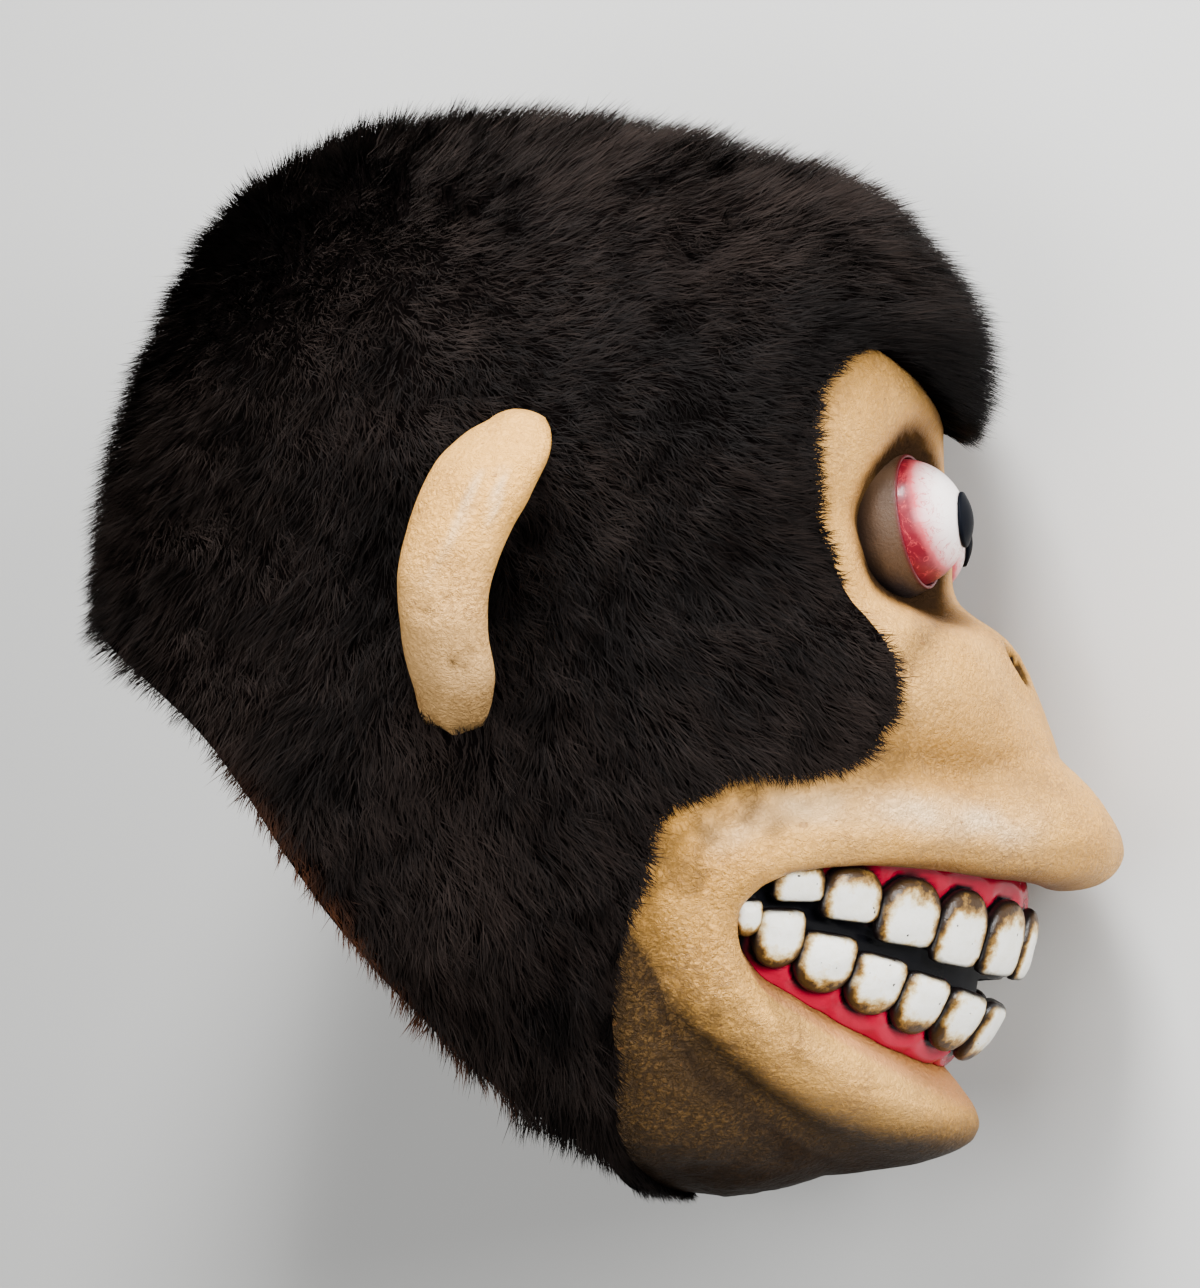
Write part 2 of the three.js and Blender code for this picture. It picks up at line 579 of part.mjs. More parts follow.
// Assembly
const paint = (color, roughness) => new THREE.MeshStandardMaterial({ color, roughness, metalness: 0 });
const latex = paint(0xdcb88a, 0.55);
const fur = paint(0x1d1613, 0.95);
const white = paint(0xf0e4e2, 0.15);
const black = paint(0x10141a, 0.1);

const head = new THREE.Group();
function add(name, made, material) {
  const mesh = new THREE.Mesh(geometryOf(made), material);
  mesh.name = name;
  head.add(mesh);
}
add("latex_head", latexHead(), latex);
add("fur_cover", pressed(furCover()), fur);
for (const [name, side] of [["right", 1], ["left", -1]]) {
  add("eyeball_" + name, solid(eyeball(side)), white);
  add("pupil_" + name, solid(pupil(side)), black);
}

const mask = new THREE.Group();
mask.add(head);
head.rotation.copy(restTurn);
const box = new THREE.Box3().setFromObject(mask, true);
head.position.set(-(box.min.x + box.max.x) / 2, -(box.min.y + box.max.y) / 2, -box.min.z);

export default mask;
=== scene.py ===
"""A loose over-the-head chimpanzee mask: moulded latex, glued fur, bulging eyes and a painted grin."""
import bmesh
import bpy
import numpy as np
from mathutils import Matrix


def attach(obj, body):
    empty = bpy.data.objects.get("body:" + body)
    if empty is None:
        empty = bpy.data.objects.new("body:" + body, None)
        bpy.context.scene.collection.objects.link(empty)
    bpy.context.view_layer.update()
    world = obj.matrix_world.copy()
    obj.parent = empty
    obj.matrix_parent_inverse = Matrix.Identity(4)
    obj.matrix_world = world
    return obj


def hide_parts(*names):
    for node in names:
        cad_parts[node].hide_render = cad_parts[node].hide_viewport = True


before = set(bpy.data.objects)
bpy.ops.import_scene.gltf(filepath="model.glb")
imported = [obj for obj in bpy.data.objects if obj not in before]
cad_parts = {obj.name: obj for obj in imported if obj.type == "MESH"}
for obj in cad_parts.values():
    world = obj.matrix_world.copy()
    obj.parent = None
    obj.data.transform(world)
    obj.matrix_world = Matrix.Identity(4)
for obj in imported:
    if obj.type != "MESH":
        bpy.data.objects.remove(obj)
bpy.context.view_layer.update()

# How the mask lies
# The mask is worked out as it is worn: x forward, y to the crown, z to its right ear, in millimetres.
# It lies loose on its left temple, so lay() turns it over and sets it on the floor, in metres.
TIP, TURN = np.radians(-1.0), np.radians(32.0)
HEAD_AT = np.array([6.26, 2.66, 116.19])
turned = np.array([[np.cos(TURN), 0, np.sin(TURN)], [0, 1, 0], [-np.sin(TURN), 0, np.cos(TURN)]])
tipped = np.array([[1, 0, 0], [0, np.cos(TIP), -np.sin(TIP)], [0, np.sin(TIP), np.cos(TIP)]])
LAID = tipped @ turned


def lay(points):
    """Worn place in mm to lying place in m: turned about y, then x, then moved to the floor."""
    return (points @ LAID.T + HEAD_AT) / 1000


# Latex skin
# One slush-moulded latex skin, about 2.6 mm thick: face, lips, and the wall that the fur is glued on.
# It is open at the neck and painted tan, with brown painted shade in the creases
# and the skin painted darker toward the bottom under the chin.
HALF_WIDTH, WALL, LIP_WALL, LIP_HOLLOW = 104.0, 2.6, 8.6, 0.5
# Side outline of the bare head on its middle plane: x, y and how full the section is there.
PROFILE = np.array([
    (106, 65, 2.3), (107, 90, 2.4), (98, 115, 2.45), (78, 134, 2.45), (44, 144, 2.45), (-19, 156, 2.4),
    (-74, 150, 2.4), (-104, 132, 2.4), (-137, 78, 2.3), (-152, 11, 2.3), (-144, -48, 2.8), (-109, -104, 3.4),
    (-60, -142, 3.4), (-19, -160, 3), (15, -166.5, 2.4), (43, -169, 2.1), (77, -160, 1.85), (104, -143, 1.75),
    (115, -122, 1.7), (126, -97, 1.7), (138, -73, 1.7), (144, -49, 1.72), (137, -22, 1.8), (126, -1, 1.9),
    (110, 12, 2), (108, 32, 2.05), (106, 50, 2.1)])
# Edges on the right side, from the middle of the top round to the middle of the bottom: station, x, y, z.
MOUTH_EDGE = np.array([
    (0, 137.6, -76, 0), (.06, 136, -75.5, 15), (.14, 129.5, -74.3, 28), (.2, 122.6, -73.3, 36.2),
    (.28, 107.8, -70.9, 51.5), (.35, 93.3, -69.4, 62.7), (.4, 79, -68.5, 71.5), (.44, 64.7, -69.4, 78.4),
    (.47, 54.9, -72.5, 83), (.485, 49.2, -78.2, 84.3), (.5, 47.1, -84, 83.5), (.515, 48, -93, 80.8),
    (.54, 54.4, -104.3, 74.1), (.58, 64.2, -110.9, 66.9), (.66, 78.4, -119.5, 54.6), (.76, 92.8, -127.3, 38),
    (.88, 104, -132.6, 19.7), (1, 109.9, -135, 0)])
FUR_EDGE = np.array([
    (0, 106, 65, 0), (.05, 103, 69.7, 33.2), (.085, 95.3, 76.1, 56.2), (.12, 81.8, 80.9, 71.7),
    (.15, 69.6, 70.3, 83.2), (.17, 67.1, 58, 86.5), (.2, 67.4, 36, 83), (.23, 73, 20, 78),
    (.26, 81, 4.2, 73.7), (.29, 90, -8.4, 72.4), (.305, 91.6, -17.6, 72.7), (.325, 88.4, -27.8, 75.4),
    (.35, 80.7, -37.1, 78.6),
    (.385, 65.1, -41.8, 84.8), (.415, 49.6, -41, 90.7), (.44, 36.9, -45.9, 94.1), (.47, 24.2, -53.9, 96.9),
    (.5, 20.7, -69.6, 95.4), (.54, 14.5, -86.7, 93.4), (.6, 10.9, -106.8, 88.4), (.68, 11.1, -124.3, 80.8),
    (.77, 9.8, -139.2, 72.4), (.88, 12.2, -156.4, 55.2), (.95, 20, -165, 31), (1, 29, -168.5, 0)])
NECK_EDGE = np.array([
    (0, -148, 11, 0), (.14, -146.5, 9, 12), (.26, -142, 4, 26), (.35, -133, -2, 44), (.42, -120, -12, 63),
    (.47, -106, -25, 78), (.5, -96, -38, 86), (.54, -82, -59, 91), (.6, -63, -87, 92), (.68, -44, -110, 89.5),
    (.77, -27, -129, 83), (.84, -15, -140, 77), (.9, -2, -149, 65), (.95, 8, -156, 46), (1, 13, -163, 0)])
# Where the grid under the fur bends on its way from the face to the neck, in the same terms.
CROWN_LINE = np.array([
    (0, -20, 156, 0), (.06, -20, 140, 55), (.12, -22, 98, 93), (.17, -25, 62, 101), (.22, -22, 32, 104),
    (.28, -16, 8, 104), (.36, -12, -10, 104), (.42, -16, -22, 104), (.5, -32, -52, 100), (.6, -26, -95, 95),
    (.77, -8, -132, 80), (.9, 5, -154, 60), (1, 20, -166, 0)])
# Roll of the lips round the mouth: station, height, width and how early it crests.
LIP_ROLL = np.array([
    (0, 19.5, 40, .85), (.1, 17, 40, .85), (.22, 10.5, 36, .85), (.38, 7.5, 31, .8), (.5, 6, 29, .75),
    (.55, 7.5, 40, .7), (.62, 9.5, 47, .6), (.7, 10.5, 48, .54), (.8, 11, 45, .48),
    (.92, 13, 46, .38), (1, 14, 50, .35)])
SOCKET = dict(y=33.5, z=41.0, depth=15.0, reach=36.0, tilt=(37.0, 19.6))


def unit(v):
    """Vectors brought to a length of 1."""
    return v / np.linalg.norm(v, axis=-1, keepdims=True)


def smooth(x, low, high):
    """Smooth step: 0 below low, 1 above high."""
    s = np.clip((x - low) / (high - low), 0, 1)
    return s * s * (3 - 2 * s)


def cubic(rows, t):
    """Curve through rows of (station, values): a cubic on each step, with the slope of its neighbours."""
    k, v = rows[:, 0], rows[:, 1:]
    i = np.clip(np.searchsorted(k, t, side="right") - 1, 1, len(k) - 3)
    h = (k[i + 1] - k[i])[..., None]
    s = (t - k[i])[..., None] / h
    ma = h * (v[i + 1] - v[i - 1]) / (k[i + 1] - k[i - 1])[..., None]
    mb = h * (v[i + 2] - v[i]) / (k[i + 2] - k[i])[..., None]
    return ((2 * s**3 - 3 * s**2 + 1) * v[i] + (s**3 - 2 * s**2 + s) * ma
            + (3 * s**2 - 2 * s**3) * v[i + 1] + (s**3 - s**2) * mb)


def straight(rows, t):
    """Values at station t, straight between the rows."""
    return np.stack([np.interp(t, rows[:, 0], rows[:, k]) for k in range(1, rows.shape[1])], -1)


profile_x, profile_y, fullness = PROFILE.T
around = np.c_[np.arctan2(profile_y, profile_x), np.hypot(profile_x, profile_y), fullness]
around = around[np.argsort(around[:, 0])]
whole_turn = np.array([2 * np.pi, 0, 0])
OUTLINE = np.vstack([around[-2:] - whole_turn, around, around[:3] + whole_turn])


def base_radius(d):
    """Reach of the bare head along direction d: a rounded box section between side outline and half width."""
    r0, n = np.moveaxis(cubic(OUTLINE, np.arctan2(d[..., 1], d[..., 0])), -1, 0)
    return ((np.hypot(d[..., 0], d[..., 1]) / r0)**n + (np.abs(d[..., 2]) / HALF_WIDTH)**n)**(-1 / n)


def base_height(x, y):
    """Height of the bare head over its middle plane."""
    r0, n = np.moveaxis(cubic(OUTLINE, np.arctan2(y, x)), -1, 0)
    return HALF_WIDTH * np.clip(1 - (np.hypot(x, y) / r0)**n, 0, 1)**(1 / n)


def edge_line(rows):
    """An edge of the head as directions from its middle, mirrored past both ends."""
    rows = np.c_[rows[:, 0], unit(rows[:, 1:])]
    before, after = rows[1] * (-1, 1, 1, -1), rows[-2] * (-1, 1, 1, -1) + (2, 0, 0, 0)
    rows = np.vstack([before, rows, after])

    def direction(t):
        """Direction at station t, on the middle plane at both ends."""
        d = cubic(rows, t)
        d[..., 2] = np.where((t <= 0) | (t >= 1), 0, d[..., 2])
        return unit(d)

    return direction


mouth_dir, fur_dir, neck_dir, crown_dir = map(edge_line, (MOUTH_EDGE, FUR_EDGE, NECK_EDGE, CROWN_LINE))


def between(a, b, v):
    """Direction a share v of the way round from a to b."""
    angle = np.arccos(np.clip((a * b).sum(-1), -1, 1))[..., None]
    v = np.asarray(v)[..., None]
    near = angle < 1e-6
    safe = np.where(near, 1, angle)
    return np.where(near, a, (np.sin((1 - v) * safe) * a + np.sin(v * safe) * b) / np.sin(safe))


def on_base(d):
    """Point of the bare head in direction d."""
    return d * base_radius(d)[..., None]


ROLL_SHARE = 5 / 9


def skin_dir(t, v):
    """Direction at station t; v is 0 at the lips, 1 at the fur's edge and 2 at the neck's hem."""
    m, f, c, n = mouth_dir(t), fur_dir(t), crown_dir(t), neck_dir(t)
    roll = np.minimum(straight(LIP_ROLL, t)[..., 1] / np.linalg.norm(on_base(m) - on_base(f), axis=-1), 0.85)
    low = np.clip(v / ROLL_SHARE, 0, 1)**1.3 * roll
    high = roll + (1 - roll) * (v - ROLL_SHARE) / (1 - ROLL_SHARE)
    face = between(m, f, np.clip(np.where(v < ROLL_SHARE, low, high), 0, 1))
    w = np.clip(v - 1, 0, 1)
    return np.where((v <= 1)[..., None], face, between(between(f, c, w), between(c, n, w), w))


def skin_forms(t, v):
    """Direction, point on the bare head, lift of the lips and depth of the eye socket."""
    d = skin_dir(t, v)
    p = on_base(d)
    height, width, early = np.moveaxis(straight(LIP_ROLL, t), -1, 0)
    q = np.clip(np.linalg.norm(p - on_base(mouth_dir(t)), axis=-1) / width, 0, 1)
    lip = height * np.sin(np.pi * q**early)
    s = np.hypot(p[..., 1] - SOCKET["y"], p[..., 2] - SOCKET["z"]) / SOCKET["reach"]
    lean = 1 + 0.3 * np.clip((p[..., 2] - SOCKET["tilt"][0]) / SOCKET["tilt"][1], -1, 1)
    socket = np.where((s < 1) & (p[..., 0] > 0), SOCKET["depth"] * (1 - s * s)**2 * lean, 0)
    return d, p, lip, socket


def skin(t, v):
    """The moulded skin: the bare head, raised along its direction by the lips and sunk at the sockets."""
    d, p, lip, socket = skin_forms(t, v)
    return p + d * (lip - socket)[..., None]


def skin_normal(t, v):
    """Outward normal, from steps along both directions."""
    e = 0.004
    across = skin(np.minimum(t + e, 1), v) - skin(np.maximum(t - e, 0), v)
    along = skin(t, np.minimum(v + e, 2)) - skin(t, np.maximum(v - e, 0))
    n = np.cross(along, across)
    n[..., 2] = np.where((t <= 0) | (t >= 1), 0, n[..., 2])
    return unit(n)


def inner_skin(t, v):
    """Inside of the wall: it follows half the height of the lips and is thick behind them."""
    d, p, lip, socket = skin_forms(t, v)
    gap = np.linalg.norm(p - on_base(mouth_dir(t)), axis=-1)
    slope = np.clip((d * skin_normal(t, np.maximum(v, 0.3))).sum(-1), 0.7, 1)
    behind_lips = LIP_WALL * (1 - smooth(gap, 3, 30))
    return p + d * (LIP_HOLLOW * lip - 1.2 * socket - WALL / slope - behind_lips)[..., None]


def mirror_by(side):
    """Factors of x, y and z that put a right-hand point on its own side: 1 is right and -1 is left."""
    return np.stack([np.ones_like(side), np.ones_like(side), side], -1)


def round_grid(half, rows):
    """A grid right round the head with half its columns on each side: stations, rows and mirror factors."""
    step = np.arange(2 * half) / half
    t, v = np.meshgrid(np.where(step > 1, 2 - step, step), rows, indexing="ij")
    return t, v, mirror_by(np.broadcast_to(np.where(step > 1, -1.0, 1.0)[:, None], t.shape))


lattice = np.random.default_rng(7).random((32, 32, 32, 3)) * 2 - 1


def cloud(p, size, octaves=1):
    """Soft random vectors of about -1 to 1 that change over about size mm, with finer layers on top."""
    total, scale = 0, 1.0
    for k in range(octaves):
        q = p / size * 2**k + 11.3 * k
        i = np.floor(q).astype(int)
        f = q - i
        f = f * f * (3 - 2 * f)
        value = 0
        for corner in range(8):
            b = np.array([corner & 1, corner >> 1 & 1, corner >> 2 & 1])
            w = np.prod(np.where(b, f, 1 - f), axis=-1)[..., None]
            value = value + w * lattice[tuple(np.moveaxis((i + b) % 32, -1, 0))]
        total = total + scale * value
        scale *= 0.5
    return total


# Creases of the face: points along each with how strong it is there, then width, depth and brown painted
# shade.
CREASES = [
    (((20, -86, 91.6, 0), (22, -93, 89.1, 0.3), (28, -113, 79.8, 0.8), (36, -124, 71.6, 1),
      (53, -138, 55.2, 1), (67, -148, 38, 0.8), (85, -155, 22, 0.3)), 7.0, 2.2, 0.6),
    (((108, 8, 28, 0.4), (103, 1, 55, 1), (99.6, -5, 63, 1), (96, -11, 68, 0.8)), 4.5, 2.2, 0.62),
    (((84, 62, 60, 1), (98, 60, 44, 1), (104, 58, 28, 1)), 7.0, 1.5, 0.1),
    (((76, -38, 80, 0.3), (88, -37, 74, 1), (102, -38, 65, 1), (117, -40, 52, 1), (135, -42, 37, 0.7)),
     8.0, 3.2, 0.5),
]


def from_line(p, line):
    """Distance from a bent line whose rows are a place and its strength, and the strength nearest to p."""
    near, strength = np.full(p.shape[:-1], 1e9), np.zeros(p.shape[:-1])
    for a, b in zip(np.array(line[:-1], float), np.array(line[1:], float)):
        way = b[:-1] - a[:-1]
        s = np.clip((p - a[:-1]) @ way / (way @ way), 0, 1)
        gap = np.linalg.norm(p - a[:-1] - s[..., None] * way, axis=-1)
        strength = np.where(gap < near, a[-1] + s * (b[-1] - a[-1]), strength)
        near = np.minimum(near, gap)
    return near, strength


def crease_marks(p):
    """Depth and brown painted shade of the creases: a soft groove by the distance to each line, alike on both
    sides.
    """
    q = np.concatenate([p[..., :2], np.abs(p[..., 2:])], -1)
    depth = np.zeros(q.shape[:-1])
    paint = np.zeros(q.shape[:-1])
    for line, width, deep, brown in CREASES:
        near, strength = from_line(q, line)
        depth += deep * strength * np.exp(-(near / width)**2)
        # Brown painted shade along each crease, a little wider than its groove.
        paint = np.maximum(paint, brown * strength * np.exp(-(near / (1.3 * width))**2))
    return depth, paint


NOSTRIL = dict(at=np.array([128.3, -8.2, 16.4]), way=np.array([0.505, -0.735, -0.452]), long=7.6, wide=5.2)


def nostril_gap(p):
    """Distance from the nearer nostril, a slanted oval pit: 1 on its edge."""
    q = np.concatenate([p[..., :2], np.abs(p[..., 2:])], -1) - NOSTRIL["at"]
    lengthways = q @ NOSTRIL["way"]
    across = np.linalg.norm(q - lengthways[..., None] * NOSTRIL["way"], axis=-1)
    return np.hypot(lengthways / NOSTRIL["long"], across / NOSTRIL["wide"])


def jaw_rough(p):
    """Share of the coarse stippled cast on the cheek behind the mouth and along the jaw."""
    return smooth(-p[..., 1], 48, 95) * (1 - smooth(p[..., 0], 30, 78))


def detailed_skin(t, v, sided):
    """The skin moved along its normal by its creases, nostrils and hand-modelled lumps."""
    p, n = skin(t, v) * sided, skin_normal(t, v) * sided
    face = 1 - smooth(v, 0.97, 1.05)
    depth, _ = crease_marks(p)
    hole = nostril_gap(p)
    rim = np.exp(-((hole - 1.3) / 0.3)**2)
    rough = jaw_rough(p)
    lumps = (cloud(p, 26, 2)[..., 0] * 0.8 + cloud(p, 8, 2)[..., 1] * (0.18 + 0.3 * rough)
             + cloud(p, 3.4, 2)[..., 2] * (0.05 + 0.25 * rough))
    wrinkles = cloud(p * (0.3, 1.6, 0.3), 5, 2)[..., 0] * 0.22 * (1 - smooth(v, 0.3, 0.6))
    lift = (face * ((lumps + wrinkles) * smooth(v, 0, 0.05) - depth) - 2.2 * (1 - smooth(hole, 0.45, 1.0))
            + 0.7 * rim * face)
    return p + n * lift[..., None]


def ring_faces(nu, nv, closed_v=False):
    """Quads of a grid of nu columns that close on themselves and nv rows, which close too if asked."""
    i, j = np.meshgrid(np.arange(nu), np.arange(nv if closed_v else nv - 1), indexing="ij")
    a, b = i, (i + 1) % nu
    c, d = j, (j + 1) % nv
    return np.stack([a * nv + c, b * nv + c, b * nv + d, a * nv + d], -1).reshape(-1, 4)


def sheet_faces(nu, nv):
    """Quads of an open grid of nu by nv points."""
    i, j = np.meshgrid(np.arange(nu - 1), np.arange(nv - 1), indexing="ij")
    return np.stack([i * nv + j, (i + 1) * nv + j, (i + 1) * nv + j + 1, i * nv + j + 1], -1).reshape(-1, 4)


def make_piece(name, points, faces, material, marks=None, weld=None, laid=True, turn=True):
    """A smooth mesh piece from worn points in mm; a closed mesh is turned to face outwards by its volume."""
    points = points.reshape(-1, 3)
    co = lay(points) if laid else points
    if turn:
        a, b, c = (co[faces[:, k]] for k in (0, 1, 2))
        volume = (a * np.cross(b, c)).sum()
        if faces.shape[1] == 4:
            volume += (a * np.cross(c, co[faces[:, 3]])).sum()
        if volume < 0:
            faces = faces[:, ::-1]
    mesh = bpy.data.meshes.new(name)
    mesh.vertices.add(len(co))
    mesh.vertices.foreach_set("co", co.astype(np.float32).ravel())
    mesh.loops.add(faces.size)
    mesh.loops.foreach_set("vertex_index", faces.astype(np.int32).ravel())
    mesh.polygons.add(len(faces))
    mesh.polygons.foreach_set("loop_start", np.arange(0, faces.size, faces.shape[1], dtype=np.int32))
    mesh.polygons.foreach_set("use_smooth", np.ones(len(faces), bool))
    for mark, values in (marks or {}).items():
        layer = mesh.attributes.new(mark, "FLOAT", "POINT")
        layer.data.foreach_set("value", np.asarray(values, np.float32).ravel())
    mesh.update(calc_edges=True)
    if weld:
        bm = bmesh.new()
        bm.from_mesh(mesh)
        bmesh.ops.remove_doubles(bm, verts=bm.verts, dist=weld)
        bm.to_mesh(mesh)
        bm.free()
    mesh.materials.append(material)
    piece = bpy.data.objects.new(name, mesh)
    bpy.context.scene.collection.objects.link(piece)
    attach(piece, "root")
    return piece


def new_paint(name):
    """A fresh material with its node tree and its one Principled shader."""
    material = bpy.data.materials.new(name)
    material.use_nodes = True
    tree = material.node_tree
    tree.nodes.clear()
    out = tree.nodes.new("ShaderNodeOutputMaterial")
    shader = tree.nodes.new("ShaderNodeBsdfPrincipled")
    tree.links.new(shader.outputs[0], out.inputs[0])
    return material, tree, shader


def plug(tree, node, inputs):
    """Gives a node's inputs their values, or links them to other nodes' outputs."""
    for key, value in inputs.items():
        if isinstance(value, bpy.types.NodeSocket):
            tree.links.new(value, node.inputs[key])
        else:
            node.inputs[key].default_value = value
    return node


def add(tree, kind, inputs=None, **settings):
    """A new node with its settings and inputs."""
    node = tree.nodes.new(kind)
    for key, value in settings.items():
        setattr(node, key, value)
    return plug(tree, node, inputs or {})


def own_place(tree):
    """The piece's own coordinates, in metres."""
    return add(tree, "ShaderNodeTexCoord").outputs["Object"]


def attribute(tree, name):
    """A mark of the mesh, as a value."""
    return add(tree, "ShaderNodeAttribute", attribute_name=name).outputs["Fac"]


def maths(tree, operation, *values, clamp=False):
    """One sum on values or outputs."""
    inputs = dict(enumerate(values))
    return add(tree, "ShaderNodeMath", inputs, operation=operation, use_clamp=clamp).outputs[0]


def blend_colour(tree, share, a, b):
    """Colour a where share is 0, and b where it is 1."""
    return add(tree, "ShaderNodeMix", {0: share, 6: a, 7: b}, data_type="RGBA").outputs[2]


def ramp(tree, value, *stops):
    """A colour ramp: stops are (place, grey)."""
    node = add(tree, "ShaderNodeValToRGB", {0: value})
    bar = node.color_ramp.elements
    while len(bar) < len(stops):
        bar.new(0.5)
    for stop, (place, grey) in zip(bar, stops):
        stop.position = place
        stop.color = (grey, grey, grey, 1)
    return node.outputs[0]


def noise(tree, coordinates, scale, detail=3.0, roughness=0.55, distortion=0.0):
    """Soft random values of about 0 to 1, scale to the metre."""
    return add(tree, "ShaderNodeTexNoise", {"Vector": coordinates, "Scale": scale, "Detail": detail,
                                            "Roughness": roughness, "Distortion": distortion}).outputs[0]


def bump(tree, height, strength, distance):
    """A normal that follows height, in metres for a height of 1."""
    inputs = {"Strength": strength, "Distance": distance, "Height": height}
    return add(tree, "ShaderNodeBump", inputs).outputs[0]


def pebble_group():
    """Height and pits of cast latex: small pebbles and fine furrows, for a Bump and for painted shade in the
    pits.
    """
    group = bpy.data.node_groups.new("latex_pebbles", "ShaderNodeTree")
    group.interface.new_socket("Coordinates", in_out="INPUT", socket_type="NodeSocketVector")
    group.interface.new_socket("Size", in_out="INPUT", socket_type="NodeSocketFloat")
    group.interface.new_socket("Height", in_out="OUTPUT", socket_type="NodeSocketFloat")
    group.interface.new_socket("Pits", in_out="OUTPUT", socket_type="NodeSocketFloat")
    inside, outside = group.nodes.new("NodeGroupInput"), group.nodes.new("NodeGroupOutput")
    where = add(group, "ShaderNodeVectorMath", {0: inside.outputs[0], 1: inside.outputs[1]},
                operation="MULTIPLY").outputs[0]
    bent = add(group, "ShaderNodeTexNoise", {"Vector": where, "Scale": 2.0, "Detail": 2.0})
    moved = add(group, "ShaderNodeVectorMath", {0: bent.outputs[1], 1: (0.35, 0.35, 0.35), 2: where},
                operation="MULTIPLY_ADD").outputs[0]
    cells = add(group, "ShaderNodeTexVoronoi", {"Vector": moved, "Scale": 4.5, "Smoothness": 0.6},
                feature="SMOOTH_F1").outputs[0]
    fine = noise(group, where, 6.0, 5.0, 0.62)
    lines = maths(group, "ABSOLUTE", maths(group, "SUBTRACT", noise(group, where, 3.2, 3.0, 0.6, 0.8), 0.5))
    furrows = ramp(group, lines, (0.0, 1.0), (0.07, 0.0))
    grooved = maths(group, "MULTIPLY_ADD", cells, -0.6, maths(group, "MULTIPLY", furrows, -0.3))
    height = maths(group, "MULTIPLY_ADD", fine, 0.9, grooved)
    group.links.new(height, outside.inputs[0])
    group.links.new(ramp(group, height, (0.0, 1.0), (0.16, 0.0)), outside.inputs[1])
    return group


PEBBLES = pebble_group()


def pebbles(tree, size):
    """Height and pits outputs of the pebbles; a size of 135 gives about six to the centimetre."""
    node = add(tree, "ShaderNodeGroup", node_tree=PEBBLES)
    plug(tree, node, {"Coordinates": own_place(tree), "Size": size})
    return node.outputs["Height"], node.outputs["Pits"]


def painted_latex():
    """Satin tan paint over cast latex, by marks of the mesh.

    One mark darkens to brown: stains, and painted shade in the creases, the sockets, under the
    upper lip and under the fur's edge, with the skin darker toward the bottom below the chin.
    One darkens to grey-black: dark paint and painted shade round the eyes, painted shade in the
    nostrils, under the upper lip and in the fold under the lower lip, and darker again under the
    chin and at the throat. One gives pink: paint at the lips' edge, and painted shade round the
    eyes and under the upper lip. One gives a paler tan, a painted highlight on the lip's crest and
    the ears' folds, and painted light on the lower ears. The mark warm is the ears' deeper tan,
    and coarse makes the pebbles stand out more.
    """
    material, tree, shader = new_paint("painted_latex")
    where = own_place(tree)
    height, pits = pebbles(tree, 135.0)
    patches = noise(tree, where, 22.0, 3.0)
    mottle = ramp(tree, noise(tree, where, 48.0, 5.0, 0.62), (0.45, 0.0), (0.72, 1.0))
    colour = blend_colour(tree, ramp(tree, patches, (0.35, 0.0), (0.65, 1.0)),
                          (0.59, 0.285, 0.046, 1), (0.67, 0.35, 0.078, 1))
    warm, rubbed_in_and_painted_highlight, brown_stain_and_painted_shade, black_paint_and_painted_shade = (attribute(tree, mark) for mark in ("warm", "rubbed_in_and_painted_highlight", "brown_stain_and_painted_shade", "black_paint_and_painted_shade"))
    colour = blend_colour(tree, warm, colour, (0.69, 0.345, 0.07, 1))
    # A paler tan: a painted highlight on the lip's crest and the ears.
    colour = blend_colour(tree, rubbed_in_and_painted_highlight, colour, (0.86, 0.60, 0.34, 1))
    # Pink: paint at the lips' edge, and painted shade round the eyes and under the upper lip.
    half_blush = maths(tree, "MULTIPLY", attribute(tree, "blush_and_painted_shade"), 0.5)
    colour = blend_colour(tree, half_blush, colour, (0.45, 0.11, 0.075, 1))
    # Brown in the pebbles' pits and mottles: painted shade in the fine hollows, and uneven tone.
    pit_shade_and_mottle = maths(tree, "MULTIPLY", maths(tree, "MULTIPLY_ADD", pits, 0.7, 0.15), mottle)
    colour = blend_colour(tree, pit_shade_and_mottle, colour, (0.32, 0.155, 0.04, 1))
    # Dark brown broken by the pits: stains, and painted shade in the creases, sockets and under the lip.
    broken = maths(tree, "MULTIPLY_ADD", pits, 0.12, maths(tree, "MULTIPLY_ADD", mottle, 0.08, 0.92))
    broken_stain_and_shade = maths(tree, "MULTIPLY", brown_stain_and_painted_shade, broken, clamp=True)
    colour = blend_colour(tree, broken_stain_and_shade, colour, (0.055, 0.031, 0.013, 1))
    specks = ramp(tree, noise(tree, where, 330.0, 2.0), (0.69, 0.0), (0.74, 0.55))
    colour = blend_colour(tree, specks, colour, (0.20, 0.085, 0.022, 1))
    # Grey-black: dark paint and painted shade round the eyes, painted shade in the nostrils and under the
    # lips, and darker under the chin.
    colour = blend_colour(tree, black_paint_and_painted_shade, colour, (0.012, 0.007, 0.005, 1))
    gloss = maths(tree, "MULTIPLY_ADD", rubbed_in_and_painted_highlight, -0.15, maths(tree, "MULTIPLY_ADD", patches, 0.25, 0.33))
    dark = maths(tree, "MAXIMUM", black_paint_and_painted_shade, maths(tree, "MULTIPLY", brown_stain_and_painted_shade, 0.7))
    shine = maths(tree, "MULTIPLY_ADD", dark, -0.36, maths(tree, "MULTIPLY_ADD", warm, -0.12, 0.32))
    relief = maths(tree, "MULTIPLY_ADD", attribute(tree, "coarse"), 0.3, 0.7)
    plug(tree, shader, {"Base Color": colour, "Roughness": gloss, "Specular IOR Level": shine,
                        "Normal": bump(tree, height, relief, 0.0016)})
    return material


LATEX_PAINT = painted_latex()

